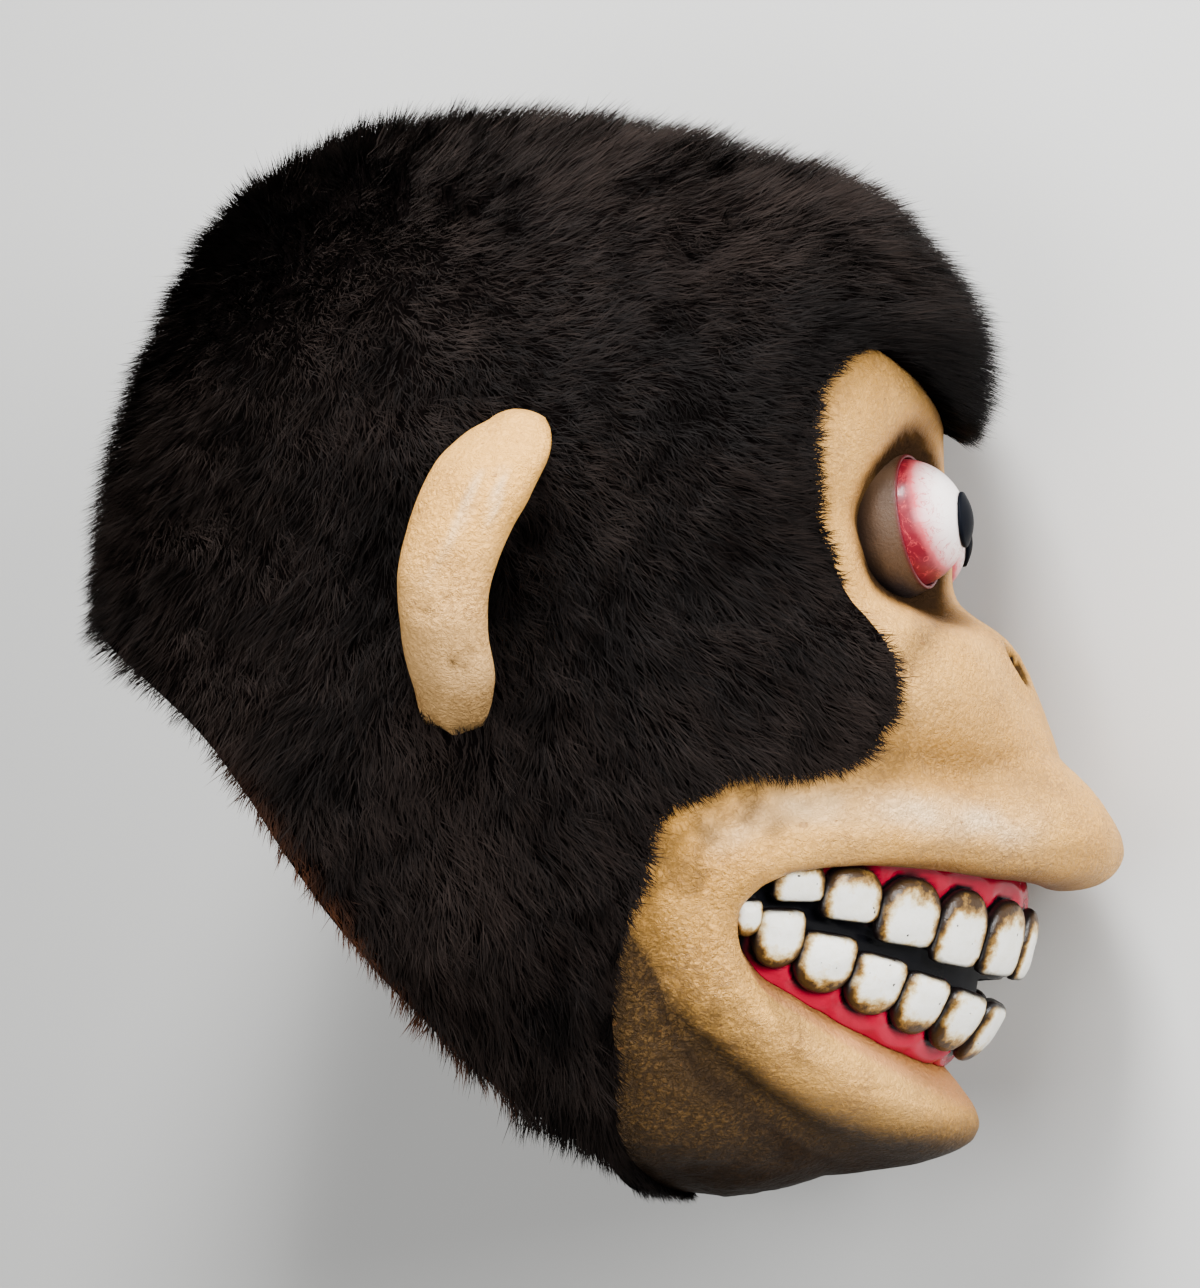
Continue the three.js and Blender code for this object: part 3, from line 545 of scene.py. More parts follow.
# The line under the jaw and chin below which the skin is painted darker toward the bottom: x and y. Then the
# upper lip's crest, which carries a pale painted highlight: x, y, z and how much.
CHIN_LINE = ((14, -86), (22, -98), (28, -115), (36, -127), (53, -141), (67, -151), (85, -158), (112, -162))
CREST = ((42.5, -61, 93.5, 0.5), (59.4, -52, 86.3, 0.8), (82, -52, 78, 0.6), (93, -52, 73, 0.6),
         (108, -54, 65, 1), (122.6, -57, 53, 0.9), (131, -58, 38, 0.6))
# Middle of the band of dark paint and painted shade round each eye: y and z.
EYE_BAND = dict(y=33.5, z=38.0)


def skin_marks(t, v, sided):
    """Where paint, painted shade and painted highlights lie: by distance from the eyes, the chin's line, the
    lips, their crest and creases.
    """
    p = skin(t, v) * sided
    x, y = p[..., 0], p[..., 1]
    _, creased = crease_marks(p)
    in_front = x > 60
    # Below the chin's line the skin grows darker toward the bottom; a painted shadow lies in the lip's fold.
    under_chin = np.interp(x, *zip(*CHIN_LINE)) - y
    to_corner = 1 - smooth(x, 20, 36)
    below = smooth(under_chin, -23 + 11 * to_corner, -4 + 5 * to_corner)
    fold = 0.5 * np.exp(-((under_chin - 3) / 4)**2) * smooth(-y, 92, 108)
    chin = 0.82 * smooth(under_chin, -2, 5) * smooth(x, 34, 60)
    throat = 0.85 * smooth(-y, 140, 162)
    # Painted shade in the valley over the upper lip's roll; darker brown on the strip behind the mouth.
    valley = 0.36 * smooth(x, 60, 90) * np.exp(-((y + 27) / 13)**2) * (1 - smooth(x, 118, 134))
    strip = 0.8 * smooth(-y, 66, 100) * (1 - smooth(x, 18, 34))
    # Dark paint and painted shade round each eye: most above and below the lid, and close round its edge.
    eye_gap = np.hypot(y - EYE_BAND["y"], np.abs(p[..., 2]) - EYE_BAND["z"])
    round_eye = (1 - smooth(eye_gap, 25.5, 34.5)) * in_front
    past_side = smooth(np.abs(y - EYE_BAND["y"]), 4, 14)
    at_lid = 0.85 * (1 - smooth(eye_gap, 22.5, 26)) * in_front
    # Painted shade under the upper lip, in brown, grey-black and pink; pink paint along the lips' edge.
    under_lip = (1 - smooth(v, 0.015, 0.21)) * ((t < 0.5) & in_front)
    lip_edge = 1 - smooth(v, 0.0, 0.045)
    blotches = smooth(cloud(p, 17, 3)[..., 1] + cloud(p, 5, 2)[..., 0] * 0.5, 0.1, 0.7)
    stain = blotches * 0.5 * (1 - smooth(x, 50, 90))
    # Brown adds stains and painted shadow under the fur's edge; grey-black adds painted shade in nostrils.
    brown_stain_and_painted_shade = np.maximum.reduce([creased, below, strip, valley, 0.35 * round_eye, 0.38 * under_lip, stain,
                              0.55 * smooth(v, 0.955, 1)])
    black_paint_and_painted_shade = np.maximum.reduce([0.97 * round_eye * (0.12 + 0.88 * past_side), at_lid, 0.34 * under_lip,
                              1 - smooth(nostril_gap(p), 0.75, 1.15), chin, fold, throat])
    # Pink: lip paint at the edge, and painted shade round the eyes and under the upper lip.
    blush_and_painted_shade = 0.9 * lip_edge + 0.3 * (1 - smooth(eye_gap, 26, 38)) * in_front + 0.45 * under_lip
    # A pale painted highlight along the upper lip's crest.
    crest_gap, crest = from_line(p * (1, 1, 0) + np.abs(p * (0, 0, 1)), CREST)
    rubbed_in_and_painted_highlight = 0.85 * crest * np.exp(-(crest_gap / 5.5)**2) * (0.75 + 0.5 * cloud(p, 9, 2)[..., 1])
    return dict(rubbed_in_and_painted_highlight=rubbed_in_and_painted_highlight, brown_stain_and_painted_shade=np.clip(brown_stain_and_painted_shade, 0, 1), black_paint_and_painted_shade=np.clip(black_paint_and_painted_shade, 0, 1),
                blush_and_painted_shade=np.clip(blush_and_painted_shade, 0, 1), coarse=jaw_rough(p))


SKIN_HALF = 240
SKIN_ROWS = np.r_[np.linspace(0, 1, 88), np.linspace(1, 2, 9)[1:]]
INNER_ROWS = np.r_[np.linspace(2, 1, 7), np.linspace(1, 0, 20)[1:]]
INSIDE_WASH = 0.15
skin_grid = round_grid(SKIN_HALF, SKIN_ROWS)
inner_t, inner_v, inner_sided = round_grid(SKIN_HALF, INNER_ROWS)
inside = inner_skin(inner_t, inner_v)
inside = (inside - unit(inside) * (1.2 * crease_marks(inside)[0])[..., None]) * inner_sided
shell = np.concatenate([detailed_skin(*skin_grid), inside], 1)
marks = {mark: np.concatenate([values, np.full(inner_t.shape, INSIDE_WASH if mark == "brown_stain_and_painted_shade" else 0.0)], 1)
         for mark, values in skin_marks(*skin_grid).items()}
skin_faces = ring_faces(2 * SKIN_HALF, shell.shape[1], True)
latex_skin = make_piece("latex_skin", shell, skin_faces, LATEX_PAINT, marks)
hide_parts("latex_head")

# Gums
# The gums are cast with the face and painted a wet red, with black round the teeth and between the two rows.
# They close the mouth except for the slot between the front teeth.
LIP_DEPTH, GROOVE = 7.0, 2.5
GUM_BULGE = np.array([(0, 8), (.25, 4), (.5, 1)])
# The bite: station, then where the upper and the lower teeth start and end, as shares down the gum.
BITE = np.array([(0, .13, .45, .57, .92), (.2, .10, .475, .545, .875), (.3, .09, .45, .52, .87),
                 (.38, .07, .40, .51, .90), (.44, 0, .31, .38, .87), (.5, 0, .15, .22, .74)])
SLOT = dict(x=116.0, top=-103.3, bottom=-112.0)
BARE_LATEX = (0.60, 0.33, 0.12, 1)


def gum(t, v, depth=LIP_DEPTH, groove=GROOVE):
    """Rungs from the upper lip at t to the lower lip at 1 - t, bulged forward, with a groove at the bite."""
    a = skin(t, np.zeros_like(t)) - mouth_dir(t) * depth
    b = skin(1 - t, np.zeros_like(t)) - mouth_dir(1 - t) * depth
    out = between(mouth_dir(t), mouth_dir(1 - t), v)
    ends = straight(BITE, t)
    bite = np.abs(v - (ends[..., 1] + ends[..., 2]) / 2) / 0.12
    rise = straight(GUM_BULGE, t)[..., 0] * 4 * v * (1 - v) - groove * np.clip(1 - bite, 0, 1)
    return a + (b - a) * v[..., None] + out * rise[..., None]


# Where each tooth of one side starts, along the gum from the middle.
TEETH = (dict(upper=True, edges=np.array([0, 12, 33, 53.5, 75.3, 95, 111.5])),
         dict(upper=False, edges=np.array([0, 16.5, 36.5, 55, 74, 92.8, 108.5, 117])))


def tooth_frames(row):
    """Middle, across, down and out axes, height and width of a row's right teeth, by where each starts."""
    t = np.linspace(0, 0.5, 400)
    first, last = (0, 1) if row["upper"] else (2, 3)
    ends = straight(BITE, t)
    line = gum(t, (ends[:, first] + ends[:, last]) / 2, LIP_DEPTH, 0)
    run = np.r_[0, np.cumsum(np.linalg.norm(np.diff(line, axis=0), axis=1))]
    at = np.interp((row["edges"][1:] + row["edges"][:-1]) / 2, run, t)
    ends = straight(BITE, at)
    start, end = ends[:, first], ends[:, last]
    v = (start + end) / 2
    e = 0.01
    before, after = (gum(np.clip(at + way, 0, .5), v, LIP_DEPTH, 0) for way in (-e, e))
    along = unit(after - before)
    down = gum(at, v + e, LIP_DEPTH, 0) - gum(at, v - e, LIP_DEPTH, 0)
    tall = np.linalg.norm(down, axis=-1) / (2 * e) * (end - start)
    down = unit(down)
    out = unit(np.cross(down, along))
    middle = gum(at, v, LIP_DEPTH, 0)
    out *= np.sign((out * middle).sum(-1))[:, None]
    return middle, np.cross(down, out), down, out, tall, np.diff(row["edges"])


def slot_edges(t):
    """Shares down the gum, at each t, where the slot between the front teeth starts and ends."""
    fine = np.linspace(0, 1, 601)
    sideways = np.linspace(0, 0.3, 301)
    slot_t = sideways[np.argmax(gum(sideways, sideways * 0 + 0.52)[:, 0] < SLOT["x"])]
    y = gum(*np.meshgrid(np.minimum(t, slot_t), fine, indexing="ij"))[..., 1]
    top, bottom = (fine[np.abs(y - SLOT[edge]).argmin(1)] for edge in ("top", "bottom"))
    return slot_t, top, bottom


def black_between(v, ends, near, far):
    """Black between the two rows of teeth: full up to near past their ends, and fading out by far."""
    upper_end, lower_start = ends[..., 1], ends[..., 2]
    past_upper = smooth(v, upper_end - far, upper_end - near)
    return past_upper * (1 - smooth(v, lower_start + near, lower_start + far))


GUM_COLUMNS, GUM_ROWS, SLOT_ROWS, GUM_THICK = 241, 61, (27, 36), 6.5
run_t = np.linspace(-0.5, 0.5, GUM_COLUMNS)
slot_t, slot_top, slot_bottom = slot_edges(np.abs(run_t))
row_stops = (0, *SLOT_ROWS, GUM_ROWS - 1)
gum_v = np.stack([np.interp(np.arange(GUM_ROWS), row_stops, (0, top, bottom, 1))
                  for top, bottom in zip(slot_top, slot_bottom)])
gum_t = np.repeat(run_t[:, None], GUM_ROWS, 1)
gum_sided = mirror_by(np.where(gum_t < 0, -1.0, 1.0))
gum_t = np.abs(gum_t)
front = gum(gum_t, gum_v)
gum_out = between(mouth_dir(gum_t), mouth_dir(1 - gum_t), gum_v)

# Black paint runs round each tooth, and the gum swells in a festoon just outside it.
ink = np.zeros(gum_t.shape)
festoon = np.zeros(gum_t.shape)
for row in TEETH:
    for middle, across, down, out, tall, wide in zip(*tooth_frames(row)):
        q = front - middle
        x, y = q @ across / (wide / 2 + 0.5), q @ down / (tall / 2 + 0.8)
        k = np.where((y > 0) == row["upper"], 6.0, 2.2)
        r = (np.abs(x)**k + np.abs(y)**k)**(1 / k)
        ink = np.maximum(ink, (1 - smooth(r, 0.97, 1.05)) * (np.abs(q @ out) < 12))
        festoon = np.maximum(festoon, np.exp(-((r - 1.35) / 0.25)**2) * (1 - smooth(np.abs(q @ out), 6, 12)))
ends = straight(BITE, gum_t)
past_ends = 0.1 + 0.1 * smooth(gum_t, 0.38, 0.45)
corner = smooth(gum_t, 0.455, 0.475)
ink = np.clip(np.maximum.reduce([ink, corner, black_between(gum_v, ends, 0.01, 0.06),
                                 black_between(gum_v, ends, 0.06, past_ends) * smooth(gum_t, 0.38, 0.43),
                                 black_between(gum_v, ends, 0.16, 0.22) * smooth(gum_t, 0.36, 0.40)]), 0, 1)
swell = (1.1 * festoon + 0.25 * cloud(front, 6)[..., 0]) * (1 - ink)
front = front + gum_out * swell[..., None]
back = front - gum_out * GUM_THICK
slab = np.concatenate([(front * gum_sided).reshape(-1, 3), (back * gum_sided).reshape(-1, 3)])

# The slot's cells are left out, and walls join front to back wherever a cell's side is on an edge.
on_front = GUM_COLUMNS * GUM_ROWS
sheet = sheet_faces(GUM_COLUMNS, GUM_ROWS).reshape(GUM_COLUMNS - 1, GUM_ROWS - 1, 4)
cell_rows = np.arange(GUM_ROWS - 1)
slot_columns = np.abs(run_t[1:] + run_t[:-1]) < 2 * slot_t
in_slot = slot_columns[:, None] & (cell_rows >= SLOT_ROWS[0]) & (cell_rows < SLOT_ROWS[1])
sheet = sheet[~in_slot]
sides = np.concatenate([sheet[:, [k, (k + 1) % 4]] for k in range(4)])
open_sides = sides[~np.isin(sides @ (on_front, 1), sides @ (1, on_front))]
walls = np.concatenate([open_sides[:, ::-1], open_sides + on_front], 1)
gum_faces = np.concatenate([sheet, sheet[:, ::-1] + on_front, walls])


def wet_gums():
    """Glossy red paint with paler streaks; ink is black paint, and bare is the unpainted back."""
    material, tree, shader = new_paint("wet_gums")
    streaks = noise(tree, own_place(tree), 60.0, 4.0, 0.6, 0.6)
    streaked = ramp(tree, streaks, (0.4, 0.0), (0.75, 1.0))
    red = blend_colour(tree, streaked, (0.30, 0.0, 0.018, 1), (0.41, 0.0, 0.028, 1))
    ink = attribute(tree, "ink")
    colour = blend_colour(tree, ink, red, (0.003, 0.003, 0.004, 1))
    colour = blend_colour(tree, attribute(tree, "bare"), colour, BARE_LATEX)
    plug(tree, shader, {"Base Color": colour, "Roughness": 0.2, "Normal": bump(tree, streaks, 0.5, 0.0006),
                        "Specular IOR Level": maths(tree, "MULTIPLY_ADD", ink, -0.12, 0.18)})
    return material


plain = np.zeros(on_front)
gum_marks = dict(ink=np.r_[ink.ravel(), plain], bare=np.r_[plain, plain + 1])
gums = make_piece("gums", slab, gum_faces, wet_gums(), gum_marks)
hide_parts("latex_head")

# Teeth
# Two rows of blocky cast teeth, painted off-white. Brown stain is rubbed in where they leave the gum and
# down their sides, and a dark line runs round each.
TOOTH = dict(depth=4.0, proud=1.7)


def tooth_row(row):
    """Teeth as rounded blocks: an arch at the gum end, square at the biting end, pillowed to the front."""
    a, b = np.meshgrid(np.arange(30) / 30 * 2 * np.pi, np.linspace(-1, 1, 18) * np.pi / 2, indexing="ij")
    n = np.stack([np.cos(b) * np.cos(a), np.cos(b) * np.sin(a), np.sin(b)], -1)
    gumward = -n[..., 1] if row["upper"] else n[..., 1]
    k = np.where(gumward < 0, 6.0, 2.2)
    flat = (np.abs(n[..., 0])**k + np.abs(n[..., 1])**k)**(1 / k)
    n = n / ((flat**3.0 + np.abs(n[..., 2])**3.0)**(1 / 3.0))[..., None]
    gumward = -n[..., 1] if row["upper"] else n[..., 1]
    wide_by = 1.02 - 0.06 * np.clip(gumward, 0, 1)**2
    pillow = n[..., 2] * (1 - 0.22 * n[..., 1]**2 - 0.12 * n[..., 0]**2)
    side_gap = np.abs(n[..., 0]) * (1 + 0.15 * np.clip(gumward, 0, 1))
    end_gap = np.maximum(gumward * 1.03, -gumward)
    outline = np.maximum(smooth(side_gap, 0.84, 0.96), smooth(end_gap, 0.87, 0.97))
    rubbed_in_and_painted_highlight = np.clip(1.1 * smooth(gumward, -0.05, 0.9) + 0.85 * smooth(side_gap, 0.5, 0.95)
                     + 0.35 * smooth(-gumward, 0.75, 1), 0, 1.2)
    points, stain, rim = [], [], []
    for s in (1.0, -1.0):
        for middle, across, down, out, tall, wide in zip(*tooth_frames(row)):
            q = (middle + out * TOOTH["proud"]
                 + across * (n[..., 0] * wide / 2 * wide_by)[..., None]
                 + down * (n[..., 1] * tall / 2)[..., None]
                 + out * (pillow * TOOTH["depth"])[..., None])
            q = q + out * (0.3 * cloud(q * (1, 1, s), 5)[..., 0])[..., None]
            points.append(q * (1, 1, s))
            stain.append(rubbed_in_and_painted_highlight)
            rim.append(np.maximum(outline, smooth(-n[..., 2], -0.72, -0.35)))
    faces = ring_faces(*n.shape[:2])
    size = n.shape[0] * n.shape[1]
    faces = np.concatenate([faces + size * k for k in range(len(points))])
    return np.array(points), faces, dict(stain=np.array(stain), rim=np.array(rim))


def stained_teeth():
    """Off-white paint with dark specks; stain is patchy brown worked in, and rim the dark outline."""
    material, tree, shader = new_paint("stained_teeth")
    where = own_place(tree)
    patchy = noise(tree, where, 210.0, 5.0, 0.68)
    specks = ramp(tree, noise(tree, where, 520.0, 1.0), (0.745, 0.0), (0.775, 1.0))
    rubbed_in_and_painted_highlight = maths(tree, "MULTIPLY_ADD", patchy, 1.9, maths(tree, "SUBTRACT", attribute(tree, "stain"), 1.0))
    colour = blend_colour(tree, ramp(tree, patchy, (0.3, 0.0), (0.7, 1.0)),
                          (0.86, 0.83, 0.71, 1), (0.97, 0.96, 0.91, 1))
    for start, full, brown in (((0.12, 0.0), (0.45, 0.9), (0.72, 0.56, 0.27, 1)),
                               ((0.38, 0.0), (0.72, 0.93), (0.28, 0.135, 0.015, 1)),
                               ((0.70, 0.0), (1.0, 0.97), (0.035, 0.015, 0.003, 1))):
        colour = blend_colour(tree, ramp(tree, rubbed_in_and_painted_highlight, start, full), colour, brown)
    colour = blend_colour(tree, specks, colour, (0.04, 0.03, 0.02, 1))
    colour = blend_colour(tree, attribute(tree, "rim"), colour, (0.006, 0.004, 0.004, 1))
    plug(tree, shader, {"Base Color": colour, "Roughness": 0.3, "Specular IOR Level": 0.3,
                        "Normal": bump(tree, patchy, 0.7, 0.0007)})
    return material


TOOTH_PAINT = stained_teeth()
for row, name in zip(TEETH, ("upper_teeth", "lower_teeth")):
    points, faces, marks = tooth_row(row)
    teeth = make_piece(name, points, faces, TOOTH_PAINT, marks, weld=1e-6)
    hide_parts("latex_head")

# Eyelids
# Each eye bulges out of a cup-shaped lid, cast with the face and sprayed a satin grey-brown.
# The lid's lip is turned in and red and wet where it meets the ball.
EYE = dict(at=(94.0, 33.5, 37.0), r=19.6, back=-3.0, yaw=17.0, pitch=8.0)
LID = dict(outer=22.3, aperture=4.8, root=-12.0)
FIT_GAP = 0.35


def lathe(profile, side, yaw, pitch, around=72):
    """A profile of (radius, height) turned about the way the eye looks, yaw and pitch in degrees."""
    a, b = np.radians([yaw, pitch])
    axis = np.array([np.cos(a) * np.cos(b), np.sin(b), side * np.sin(a) * np.cos(b)])
    u = unit(np.cross(axis, (0, 0, 1.0)))
    w = np.cross(axis, u)
    turn = np.arange(around) / around * 2 * np.pi
    ring = np.cos(turn)[:, None] * u + np.sin(turn)[:, None] * w
    points = ring[:, None] * profile[None, :, :1] + axis * profile[None, :, 1:]
    return points + np.array(EYE["at"]) * (1, 1, side)


def ball_arc(r, low, high, steps):
    """Profile points on a ball between two heights."""
    h = r * np.sin(np.linspace(np.arcsin(low / r), np.arcsin(high / r), steps))
    return np.c_[np.sqrt(np.maximum(r * r - h * h, 0)), h]


def lid_paint():
    """Satin grey-brown; wet is the red inner lip, a black mark paints shade round the lid, and bare is
    unpainted latex inside.
    """
    material, tree, shader = new_paint("lid_paint")
    height, _ = pebbles(tree, 190.0)
    cloudy = ramp(tree, noise(tree, own_place(tree), 60.0, 4.0, 0.6), (0.35, 0.0), (0.7, 1.0))
    colour = blend_colour(tree, cloudy, (0.050, 0.026, 0.0125, 1), (0.084, 0.045, 0.0225, 1))
    # Black: painted shade where the lid sinks into its socket, and round its top and bottom.
    colour = blend_colour(tree, attribute(tree, "black_paint_and_painted_shade"), colour, (0.014, 0.010, 0.011, 1))
    wet = attribute(tree, "wet")
    colour = blend_colour(tree, wet, colour, (0.075, 0.004, 0.007, 1))
    colour = blend_colour(tree, attribute(tree, "bare"), colour, BARE_LATEX)
    plug(tree, shader, {"Base Color": colour, "Roughness": maths(tree, "MULTIPLY_ADD", wet, -0.15, 0.5),
                        "Specular IOR Level": 0.28, "Normal": bump(tree, height, 0.35, 0.0004)})
    return material


LID_PAINT = lid_paint()
LID_STEPS = 26
outer, aperture, root = LID["outer"], LID["aperture"], LID["root"]
seat, floor_of_seat = EYE["r"] + FIT_GAP, EYE["back"] - FIT_GAP
# The outside is a ball that thins to a rolled lip; the seat inside it is a ball too, with a flat floor.
arc_h = np.linspace(root, aperture, LID_STEPS)
reach = seat + (outer - seat) * (1 - 0.55 * smooth(arc_h, -3, aperture))
turn = np.linspace(0, np.pi, 9)[1:-1]
across_lip = (reach[-1] + seat) / 2 + 0.5 * (reach[-1] - seat) * np.cos(turn)
lid_profile = np.vstack([
    [(0, root)], np.c_[np.sqrt(reach**2 - arc_h**2), arc_h],
    np.c_[np.sqrt(across_lip**2 - aperture**2), aperture + 0.6 * np.sin(turn)],
    ball_arc(seat, aperture, floor_of_seat, 10), [(0, floor_of_seat)]])
for side_name, s in (("right", 1.0), ("left", -1.0)):
    points = lathe(lid_profile, s, EYE["yaw"], EYE["pitch"])
    h = np.broadcast_to(lid_profile[:, 1], points.shape[:2])
    turned_in = smooth(np.arange(len(lid_profile)), LID_STEPS - 1.5, LID_STEPS + 2)
    wet = np.broadcast_to(turned_in, points.shape[:2])
    high = np.abs(points[..., 1] - EYE["at"][1])
    # Painted shade: black at the lid's root in the socket, and round its top and bottom where the socket is
    # deep.
    black_paint_and_painted_shade = (1 - smooth(h, -9, -1)) * 0.8 + smooth(high, 13, 21) * 0.95 * (1 - smooth(h, 0, 4.5))
    marks = dict(wet=wet, black_paint_and_painted_shade=np.clip(black_paint_and_painted_shade, 0, 1), bare=1 - smooth(h, root + 0.5, root + 3))
    lid_faces = ring_faces(*points.shape[:2])
    lid = make_piece(side_name + "_eyelid", points, lid_faces, LID_PAINT, marks, weld=1e-6)
    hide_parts("latex_head")

# Eyeballs and pupils
# Each eyeball is a glossy plastic dome glued into the lid, white to pink, red at the edge with fine veins.
# The pupil is a blue-black lens glued on it, looking nearly straight ahead.
PUPIL = dict(r=8.4, proud=1.9, edge=1.0, yaw=9.0, pitch=3.2)


def eyeball_paint():
    """Glossy white, pink and then crimson by the mark rim, with branching veins, under a clear coat."""
    material, tree, shader = new_paint("eyeball_paint")
    where = own_place(tree)
    rim = attribute(tree, "rim")
    ridge = maths(tree, "ABSOLUTE", maths(tree, "SUBTRACT", noise(tree, where, 150.0, 3.0, 0.6, 1.4), 0.5))
    veins = ramp(tree, ridge, (0.0, 1.0), (0.018, 0.0))
    fibres = noise(tree, where, 320.0, 4.0, 0.7)
    red = maths(tree, "ADD", rim, maths(tree, "MULTIPLY_ADD", fibres, 0.2, -0.1))
    pink = maths(tree, "POWER", maths(tree, "MULTIPLY", red, 1.25, clamp=True), 1.6, clamp=True)
    colour = blend_colour(tree, pink, (0.88, 0.79, 0.76, 1), (0.50, 0.075, 0.09, 1))
    colour = blend_colour(tree, ramp(tree, red, (0.78, 0.0), (1.0, 1.0)), colour, (0.15, 0.003, 0.012, 1))
    vein_share = maths(tree, "MULTIPLY", veins, ramp(tree, rim, (0.0, 0.12), (0.4, 0.85)))
    colour = blend_colour(tree, vein_share, colour, (0.5, 0.04, 0.05, 1))
    plug(tree, shader, {"Base Color": colour, "Roughness": 0.4, "Specular IOR Level": 0.3,
                        "Coat Weight": 0.15, "Coat Roughness": 0.15})
    return material


def pupil_paint():
    """Blue-black paint with a faint grey bloom."""
    material, tree, shader = new_paint("pupil_paint")
    bloom = noise(tree, own_place(tree), 90.0, 2.0)
    colour = blend_colour(tree, bloom, (0.0015, 0.0018, 0.003, 1), (0.004, 0.005, 0.008, 1))
    plug(tree, shader, {"Base Color": colour, "Roughness": 0.45, "Specular IOR Level": 0.02})
    return material


EYEBALL_PAINT, PUPIL_PAINT = eyeball_paint(), pupil_paint()
ball_profile = np.vstack([[(0, EYE["back"])], ball_arc(EYE["r"], EYE["back"], EYE["r"], 40)])
lens_arc = PUPIL["r"] * np.linspace(0, 1, 8)
rim_h = np.sqrt(seat**2 - PUPIL["r"]**2)
share = np.linspace(1, 0, 16)
lens_top = rim_h + PUPIL["edge"] + (EYE["r"] + PUPIL["proud"] - rim_h - PUPIL["edge"]) * (1 - share * share)
lens_profile = np.vstack([np.c_[lens_arc, np.sqrt(seat**2 - lens_arc**2)],
                          [(PUPIL["r"], rim_h + 0.7 * PUPIL["edge"])],
                          np.c_[PUPIL["r"] * 0.985 * share, lens_top]])
for side_name, s in (("right", 1.0), ("left", -1.0)):
    points = lathe(ball_profile, s, EYE["yaw"], EYE["pitch"])
    h = np.broadcast_to(ball_profile[:, 1], points.shape[:2])
    low = np.clip((EYE["at"][1] - points[..., 1]) / EYE["r"], -1, 1)
    marks = dict(rim=np.clip(1 - (h - 8.4) / 8.8 + 0.26 * low, 0, 1))
    ball_faces = ring_faces(*points.shape[:2])
    eyeball = make_piece(side_name + "_eyeball", points, ball_faces, EYEBALL_PAINT, marks,
                         weld=1e-6)
    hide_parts("eyeball_" + side_name)
    points = lathe(lens_profile, s, PUPIL["yaw"], PUPIL["pitch"])
    lens_faces = ring_faces(*points.shape[:2])
    pupil = make_piece(side_name + "_pupil", points, lens_faces, PUPIL_PAINT, weld=1e-6)
    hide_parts("pupil_" + side_name)

# Ears
# The ears are cast with the head: a thick curled rim that stands well clear of the fur, hollow to the front.
# They are painted like the face, with dents from the mould; brown painted shade lies where they meet the fur,
# in the pits and in the hollow, and pale painted highlights lie on the folds and the lower ear.
# Sections from the lobe up: y, back edge x, front edge x and rim z.
EAR = np.array([
    (-30.5, -38.5, -26, 109), (-27, -41, -22.5, 118), (-16, -43, -19, 132), (-3, -45.2, -20, 141),
    (10, -45.2, -18.5, 145), (22, -43.5, -14, 146), (34, -40, -8, 144), (45, -35, -3.6, 139),
    (53, -29, -3.3, 131), (57.6, -22.5, -5, 126.5)], float)
EAR_WALL, EAR_TIP, EAR_ROOT = 7.0, 2.6, 3.6


def ear_section(y, back, front, rim):
    """Closed section of the ear at height y: up the back, over the rim and down through the hollow."""
    wall = np.minimum(EAR_WALL, (front - back) * 0.62)

    def root(x):
        """Height just inside the head's wall."""
        return base_height(x, y) - EAR_ROOT

    drop = np.minimum(18, (rim - root(back)) * 0.6)
    xz = [(back + 8, root(back + 8)), (back + 2, rim - drop * 1.6), (back, rim - drop), (back + 2.5, rim - 7),
          (back + 0.45 * (front - back), rim), (back + 0.85 * (front - back), rim - 2), (front, rim - 8),
          (front - 2.5, rim - drop), (np.maximum(front - wall, back + wall), rim - drop * 0.85),
          (back + wall + 1, rim - drop * 0.95), (back + wall + 2, rim - drop * 1.6),
          (back + wall + 8, root(back + wall + 8))]
    return np.stack([np.stack([x, y, z], -1) for x, z in xz], -2)


def closed_curve(points, steps):
    """Smooth closed curve through the points of the last axis but one."""
    n = points.shape[-2]
    u = np.arange(steps) / steps * n
    i = u.astype(int)
    s = (u - i)[:, None]
    a, b, c, d = (points[..., (i + k) % n, :] for k in (-1, 0, 1, 2))
    return 0.5 * (2 * b + (c - a) * s + (2 * a - 5 * b + 4 * c - d) * s**2 + (3 * b - a - 3 * c + d) * s**3)


rows = np.vstack([2 * EAR[0] - EAR[1], EAR, 2 * EAR[-1] - EAR[-2]])
rows = np.c_[np.arange(-1, len(EAR) + 1), rows]
level = np.linspace(0, len(EAR) - 1, 90)
loops = closed_curve(ear_section(*np.moveaxis(cubic(rows, level), -1, 0)), 72)
quarter = np.radians(np.linspace(45, 90, 8)[1:])


def rounded_end(loop, way):
    """Loops that close an end as a flat dome, drawn in to a point under its rim."""
    mid = loop.mean(0) * (1, 1, 0) + (0, 0, loop[:, 2].max() - 9)
    drawn_in = np.cos(quarter) * np.sqrt(2)
    bulge = way * EAR_TIP * (np.sin(quarter) - np.sqrt(0.5)) / (1 - np.sqrt(0.5))
    return np.stack([mid + (loop - mid) * (k, 1, k) + (0, b, 0) for k, b in zip(drawn_in, bulge)])


loops = np.concatenate([rounded_end(loops[0], -1)[::-1], loops, rounded_end(loops[-1], 1)])
ear_points = np.moveaxis(loops, 0, 1)

